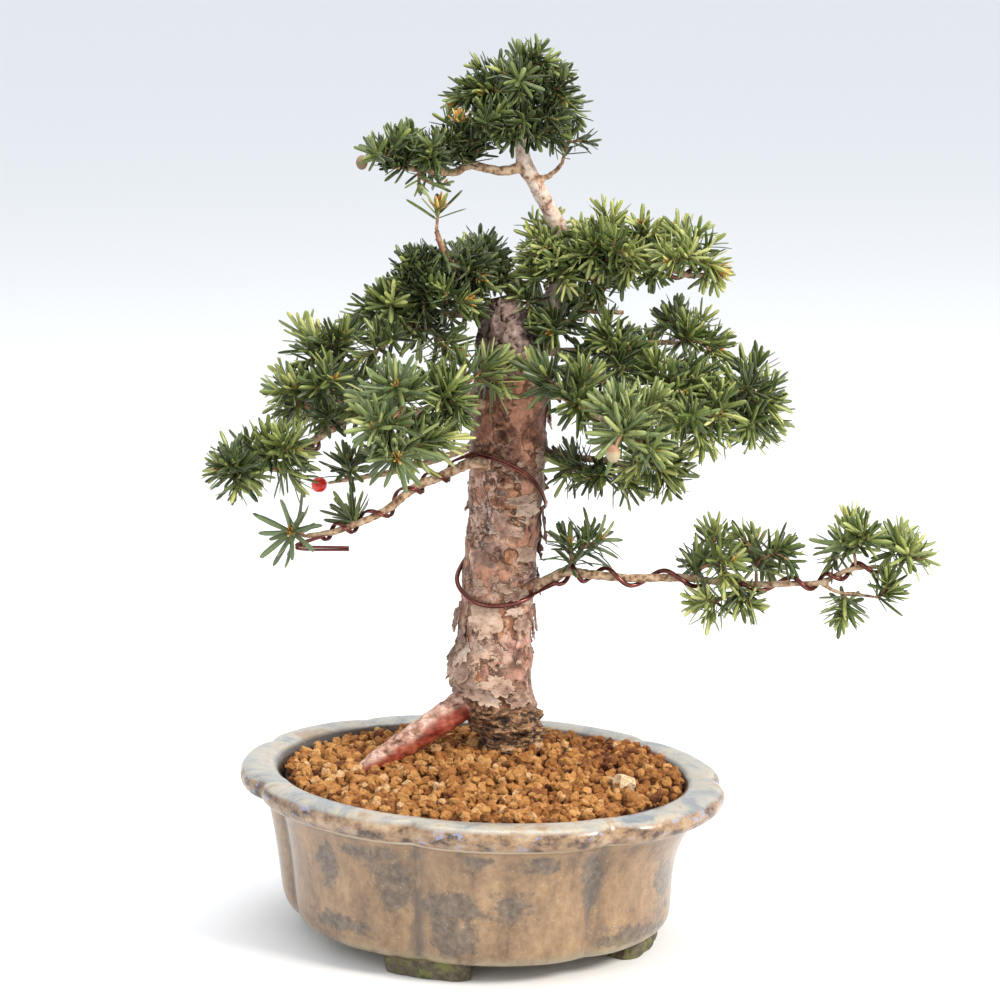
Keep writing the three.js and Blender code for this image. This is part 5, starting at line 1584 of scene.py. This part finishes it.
class Grower:
    """Sets needles, buds and twigs on the shoots of one group, inside the room that the solids take."""

    def __init__(self, seed, needle, twig):
        self.rng = random.Random(seed)
        self.needle = needle
        self.twig = twig
        self.needle_points = points_of(needle)
        self.twig_points = points_of(twig)
        self.low = (CAD_BOX[0] - POT_MIDDLE) / MM
        self.high = (CAD_BOX[1] - POT_MIDDLE) / MM
        self.blades = []
        self.twigs = []

    def fits(self, point):
        return all(self.low[i] + ROOM_MARGIN < point[i] < self.high[i] - ROOM_MARGIN for i in range(3))

    def blade(self, root, heading, face, length, width, droop, tone, bloom=0.0, bud=False):
        """A copy of the needle, bent a little along its length and put in place."""
        reach = next((s for s in (1.0, 0.85, 0.7, 0.5) if self.fits(root + heading * length * s)), None)
        if reach is None:
            return
        length *= reach
        mesh = self.needle.data.copy()
        across = heading.cross(face).normalized()
        t = self.needle_points[:, 1]
        sway = self.rng.uniform(-0.08, 0.08) * length * t**2
        sideways = self.needle_points[:, 0] * width + sway
        lift = self.needle_points[:, 2] * width - droop * length * t**2
        points = np.array(root) + np.outer(t * length, heading)
        points = points + np.outer(sideways, across) + np.outer(lift, face)
        mesh.vertices.foreach_set("co", to_metres(points).reshape(-1))
        mark(mesh, "tone", tone)
        mark(mesh, "bloom", bloom)
        if bud:
            mesh.polygons.foreach_set("material_index", [2] * len(mesh.polygons))
        self.blades.append(link("needle", mesh))

    def stem(self, curve, radius):
        """A copy of the twig, laid along a curve, thinner towards its end."""
        centres = np.array([curve_point(curve, t) for t in np.linspace(0, 1, TWIG_ROWS + 1)])
        first, second = spokes(centres)
        mesh = self.twig.data.copy()
        along = self.twig_points[:, 2] + 0.5
        row = np.rint(along * TWIG_ROWS).astype(int)
        thick = radius * (1.0 - 0.35 * along + 0.12 * (row % 2))
        points = centres[row] + thick[:, None] * (
            first[row] * self.twig_points[:, :1] + second[row] * self.twig_points[:, 1:2]
        )
        mesh.vertices.foreach_set("co", to_metres(points).reshape(-1))
        mark(mesh, "green", np.clip(along * 1.6 - 0.8, 0, 0.7))
        self.twigs.append(link("twig", mesh))

    def shoot(self, curve, count, leafy, length, tone, bloom, size=1.0, splay=SPLAY, droop=0.0):
        """A twig whose last part is set with needles in a spiral, splayed below and gathered at its tip."""
        rng = self.rng
        span = max((curve[2] - curve[0]).length, 1e-3)
        leafy = min(0.92, leafy / span)
        self.stem(curve, TWIG_RADIUS * size)
        spiral = rng.uniform(0, 2 * math.pi)
        droopy = droop + rng.uniform(-0.18, 0.12)
        for k in range(count):
            share = (k + 0.5) / count
            t = 1 - leafy * (1 - share)
            root = curve_point(curve, t)
            direction = (curve_point(curve, min(1, t + 0.05)) - curve_point(curve, t - 0.05)).normalized()
            across = square_to(direction, spiral + k * GOLDEN_TURN + rng.uniform(-0.25, 0.25))
            lean = math.radians(splay[0] + (splay[1] - splay[0]) * (1 - share) ** 0.8 + rng.uniform(-9, 9))
            heading = (leaning(direction, across, lean) + Vector((0, 0, 0.14))).normalized()
            face = (direction - heading * direction.dot(heading)).normalized()
            face.rotate(Matrix.Rotation(rng.uniform(-0.5, 0.5), 3, heading))
            reach = length * size * rng.uniform(0.85, 1.12)
            reach = reach * (1 - 0.38 * share**4) * (0.8 + 0.2 * min(1, share * 5))
            width = rng.uniform(1.9, 2.6) * (0.6 + 0.4 * length * size / 16)
            # Needles near a shoot's foot are darker: partly older needles, partly painted shade inside the
            # spray.
            shade = tone - 0.16 + 0.4 * share**2 + rng.gauss(0, 0.17)
            grey = min(1.0, max(0.0, bloom + rng.uniform(-0.3, 0.2))) if bloom else rng.random() ** 6 * 0.6
            bend = droopy + rng.uniform(0, 0.08)
            self.blade(root, heading, face, reach, width, bend, min(1, max(0, shade)), grey)

    def bud(self, curve, scales, length):
        """A bud of small scales, or with many scales a tuft that is just opening."""
        tip = curve_point(curve, 0.98)
        direction = (curve[2] - curve[1]).normalized()
        direction = (direction + Vector((0, 0, 0.3))).normalized()
        widest = 58 if scales > 10 else 40
        for k in range(scales):
            across = square_to(direction, k * GOLDEN_TURN)
            heading = leaning(direction, across, math.radians(6 + widest * (k / scales)))
            root = tip + across * 0.5 + direction * 0.8
            tall = length * self.rng.uniform(0.55, 1.1)
            self.blade(root, heading, -across, tall, 0.7 + length * 0.11, -0.12, self.rng.random(), bud=True)


def twig_starts():
    """Places on the limbs, outside the trunk, where a twig may leave them."""
    starts = []
    for name, knots in LIMBS.items():
        for point in smooth_path(knots, 2):
            middle = trunk_at(point[2])
            outside = math.hypot(point[0] - middle[0], point[1] - middle[1]) > middle[3] + 3
            if name != "root" and (outside or point[2] > TRUNK[-1][2]):
                starts.append(Vector(point[:3]))
    return starts


def nearest_start(starts, tip):
    """The nearest place for a twig to leave a limb that still leaves it some length."""
    return min((p for p in starts if (p - tip).length > 5), key=lambda p: (p - tip).length)


def twig_to(start, tip):
    """A twig that bows up a little on its way."""
    return start, start.lerp(tip, 0.35) + Vector((0, 0, 0.06)) * (tip - start).length, tip


def grow_group(grower, group, sprays, starts):
    """Every shoot of a group: those at the tips with their side shoots, then the dark ones within, whose
    darkness is painted shade.
    """
    length, tone, inner = GROUP_LOOKS[group]
    for tips in sprays:
        main = None
        for named_tip in tips:
            look = TIP_LOOKS.get(named_tip, {})
            tip = Vector(named_tip)
            if main is None:
                curve = twig_to(nearest_start(starts, tip), tip)
                main = curve
            else:
                base = curve_point(main, 0.45)
                curve = (base, base.lerp(tip, 0.45) + (main[2] - main[0]).normalized() * 3, tip)
            if "aim" in look:
                curve = (curve[0], tip - Vector(look["aim"]).normalized() * AIM_BEND, tip)
            own = min(0.8, max(0.12, tone + look.get("tone", 0) + grower.rng.gauss(0, 0.11)))
            bloom = look.get("bloom", 0)
            needles = look.get("needles", SHOOT_NEEDLES)
            leafy = look.get("leafy", LEAFY_LENGTH)
            reach = length * look.get("long", 1)
            splay, droop = look.get("splay", SPLAY), look.get("droop", 0)
            grower.shoot(curve, needles, leafy, reach, own, bloom, splay=splay, droop=droop)
            chance_bud = PLAIN_BUD if grower.rng.random() < BUD_SHARE else (0, 0)
            scales, tall = BUDS.get(named_tip, chance_bud)
            grower.bud(curve, scales, tall)
            for _ in range(look.get("sides", 2 if len(tips) > 2 or length < 15 else 3)):
                grow_side(grower, curve, length, own, bloom)
            # Dark inner shoots behind the tip: painted shade.
            for _ in range(look.get("inner", inner)):
                grow_side(grower, (curve[0], curve[1], curve_point(curve, 0.6)), length, own - 0.24, 0)
    for tip in INNER_TIPS.get(group, []):
        curve = twig_to(nearest_start(starts, Vector(tip)), Vector(tip))
        shade = tone - 0.16 + grower.rng.gauss(0, 0.08)
        grower.shoot(curve, *INNER_SHOOT, length * 0.92, shade, 0)
        grow_side(grower, curve, length, shade - 0.05, 0)


def grow_side(grower, curve, length, tone, bloom):
    """A short shoot beside a main one."""
    rng = grower.rng
    tip = curve[2]
    foot = curve_point(curve, rng.uniform(0.4, 0.75))
    ahead = (tip - foot).normalized()
    across = square_to(ahead, rng.uniform(0, 2 * math.pi))
    side_tip = foot + ahead * rng.uniform(3, 8) + across * rng.uniform(6, 11)
    side = (foot, foot.lerp(side_tip, 0.5) + ahead * 1.5, side_tip)
    grower.shoot(side, *SIDE_SHOOT, length, tone + rng.uniform(-0.12, 0.05), bloom * 0.7, 0.82)


def make_foliage():
    needle = needle_shape()
    twig = twig_shape()
    starts = twig_starts()
    for number, (group, sprays) in enumerate(SPRAYS.items()):
        grower = Grower(number + 1, needle, twig)
        grow_group(grower, group, sprays, starts)
        needles = merge(f"needles_{group}", grower.blades)
        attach(needles, "root")
        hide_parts(*[f"spray_{group}_{i + 1}" for i in range(len(sprays))])
        wood = merge(f"twigs_{group}", grower.twigs)
        dress(wood, TWIG)
        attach(wood, "root")
    bpy.data.objects.remove(needle)
    bpy.data.objects.remove(twig)


# Wires


def coil_round(limb, first_point, last_point, turns, start_turn, aside=0.0):
    """A helix round part of a limb, from one of its points to another, counted from its start."""
    knots = np.array(LIMBS[limb], float)
    first, second = spokes(knots)
    steps = round(abs(turns) * 16)
    path = []
    for k in range(steps + 1):
        along = first_point + (last_point - first_point) * k / steps
        i = min(int(along), len(knots) - 2)
        share = along - i
        middle = knots[i] + (knots[i + 1] - knots[i]) * share
        right = first[i] + (first[i + 1] - first[i]) * share
        other = second[i] + (second[i + 1] - second[i]) * share
        angle = 2 * math.pi * (start_turn + turns * k / steps)
        outward = right * math.cos(angle) + other * math.sin(angle)
        path.append(middle[:3] + outward * (middle[3] + WIRE_STAND_OFF) + np.cross(right, other) * aside)
    return path


def loop_round_trunk(start_angle, end_angle, start_height, end_height, sag=0, aside=0.0):
    """Part of a turn round the trunk, from one height to another, hanging low between them by its sag."""
    steps = max(2, round(abs(end_angle - start_angle) / 10))
    path = []
    for k in range(steps + 1):
        share = k / steps
        height = start_height + (end_height - start_height) * share - sag * math.sin(math.pi * share) + aside
        middle = trunk_at(height)
        angle = math.radians(start_angle + (end_angle - start_angle) * share)
        x, y = around(middle[3] + bark_relief(height, angle) + WIRE_STAND_OFF + 0.6, angle)
        path.append(np.array([middle[0] + x, middle[1] + y, height]))
    return path


def make_wire(name, strands, node):
    made = [drawn(name, smooth_path([(*p, radius) for p in path], 1.2), 12) for path, radius in strands]
    wire = merge(name, made)
    smooth(wire, 60)
    dress(wire, COPPER)
    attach(wire, "root")
    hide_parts(node)


def make_wires():
    single = [
        *coil_round("low_right", 10.4, 1.5, -7.5, 0.875),
        *loop_round_trunk(-28, -205, 160, 172, 9.5),
        *loop_round_trunk(-235, -260, 180, 183.5),
    ]
    strands = [(single, WIRE_RADIUS)]
    for aside in (-STRAND_RADIUS, STRAND_RADIUS):
        path = [
            *loop_round_trunk(-250, -372, 182, 202, aside=aside),
            *loop_round_trunk(-380, -504, 203, 227, -7, aside=aside),
            *coil_round("left_low", 1.1, 6.4, 4.65, 0.1, aside),
            np.array([-84, -22, 190 + aside]),
            np.array([-60, -21, 189 + aside]),
        ]
        strands.append((path, STRAND_RADIUS))
    make_wire("wire_low_strands", strands, "wire_low")
    left = [*loop_round_trunk(-60, -130, 266, 258), *coil_round("left_mid", 1.5, 10, 6, 0.85)]
    make_wire("wire_left_strand", [(left, WIRE_RADIUS)], "wire_left_mid")
    right = [*coil_round("leader", 1.2, 2.8, 1.3, 0.75), *coil_round("right_upper", 0.8, 6, 3.4, 0.5)]
    make_wire("wire_right_strand", [(right, WIRE_RADIUS)], "wire_right_upper")


# Fruit


def ball(name, middle, rings, form):
    """A sphere shaped by a rule that gives the radius and height at each share of the way up."""
    deselect()
    bpy.ops.mesh.primitive_uv_sphere_add(segments=24, ring_count=rings, radius=1)
    piece = newest(name)
    points = []
    for x, y, z in points_of(piece):
        flat = max(math.hypot(x, y), 1e-6)
        radius, height = form(0.5 + math.asin(max(-1, min(1, z))) / math.pi, flat)
        points.append(place(middle[0] + x / flat * radius, middle[1] + y / flat * radius, middle[2] + height))
    set_points(piece, points)
    smooth(piece)
    return piece


def egg(radius, half_height):
    """The rule for a plain egg."""
    return lambda share, flat: (radius * flat, half_height * math.sin((share - 0.5) * math.pi))


def aril_form(share, flat):
    """A fleshy cup, open below, where the seed sits in a dimple."""
    dimple = soft_step(share, 0.16, 0.0)
    height = math.sin((share - 0.5) * math.pi) + 0.5 * dimple
    return ARIL_RADIUS * flat * (0.99 - 0.25 * dimple), ARIL_RADIUS * height


def make_fruit():
    aril = ball("aril_cup", ARIL_AT, 18, aril_form)
    dress(aril, ARIL)
    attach(aril, "root")
    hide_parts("aril")
    pip_at = (ARIL_AT[0], ARIL_AT[1], ARIL_AT[2] - 0.45 * ARIL_RADIUS)
    pip = ball("aril_pip", pip_at, 10, egg(1.3, 1.5))
    dress(pip, seed_finish("pip_shell", PIP_BROWN, PIP_BROWN))
    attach(pip, "root")
    for number, (at, stalk, radius, shell, cap) in enumerate(UNRIPE_SEEDS):
        seed = ball("seed", at, 14, egg(radius, 1.25 * radius))
        heights = (points_of(seed)[:, 2] - POT_MIDDLE.z) / MM - at[2]
        mark(seed.data, "cap", [soft_step(height / radius, 0.15, 0.5) for height in heights])
        bow = (Vector(stalk) + Vector(at)) / 2 + Vector((0, 0, 0.6))
        stem = drawn("stem", smooth_path([(*stalk, 0.8), (*bow, 0.7), (*at, 0.7)], 1), 8)
        mark(stem.data, "cap", 1.0)
        seed = merge(f"unripe_seed_{number + 1}", [seed, stem])
        smooth(seed)
        dress(seed, seed_finish(f"seed_shell_{number + 1}", shell, cap))
        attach(seed, "root")


# Putting it together

pot = merge("pot_glazed", make_pot())
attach(pot, "root")
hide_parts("pot")

tree = make_tree()
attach(tree, "root")
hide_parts("trunk_and_branches")
flakes = make_flakes()
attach(flakes, "root")

soil = make_soil()
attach(soil, "root")
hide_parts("soil")

make_foliage()
make_wires()
make_fruit()

for side in ("left", "right"):
    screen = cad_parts[f"drain_screen_{side}"]
    screen.data.materials.clear()
    screen.data.materials.append(plastic_finish())


def add_lamp(name, at, size, power, color):
    lamp = bpy.data.lights.new(name, "AREA")
    lamp.size = size
    lamp.energy = power
    lamp.color = color
    holder = bpy.data.objects.new(name, lamp)
    holder.location = at
    holder.rotation_euler = (Vector((0, 0, 0.2)) - Vector(at)).to_track_quat("-Z", "Y").to_euler()
    bpy.context.collection.objects.link(holder)


CAMERA_AT = (9.2, -1500, 510)
CAMERA_LENS = 118.8
CAMERA_DIP = 11.4
PAPER_WHITE = (0.84, 0.84, 0.85)
AIR_BLUE = (0.9, 0.95, 1.0, 1)


def make_studio():
    """A wide pale floor, soft light from above and the front, and the camera."""
    deselect()
    bpy.ops.mesh.primitive_plane_add(size=60, location=(0, 0, -0.0002))
    floor = bpy.context.object
    floor.name = "studio_floor"
    paper = Finish("studio_paper", roughness=0.9)
    paper.set("Base Color", PAPER_WHITE)
    dress(floor, paper.material)
    world = bpy.data.worlds.new("studio_air")
    bpy.context.scene.world = world
    world.use_nodes = True
    air = world.node_tree.nodes["Background"]
    air.inputs["Color"].default_value = AIR_BLUE
    air.inputs["Strength"].default_value = 1.0
    add_lamp("key", (1.4, -1.0, 1.4), 0.6, 50, (1.0, 0.93, 0.84))
    add_lamp("fill", (-1.3, -0.9, 1.0), 1.2, 6, (1.0, 0.96, 0.9))
    add_lamp("top", (-0.1, 0.3, 1.8), 1.2, 16, (1.0, 0.97, 0.93))
    camera = bpy.data.cameras.new("front_camera")
    camera.lens = CAMERA_LENS
    camera.sensor_width = 36
    camera.clip_end = 100
    holder = bpy.data.objects.new("front_camera", camera)
    holder.location = place(*CAMERA_AT)
    holder.rotation_euler = (math.radians(90 - CAMERA_DIP), 0, 0)
    bpy.context.collection.objects.link(holder)
    bpy.context.scene.camera = holder
    bpy.context.scene.view_settings.view_transform = "Standard"


make_studio()
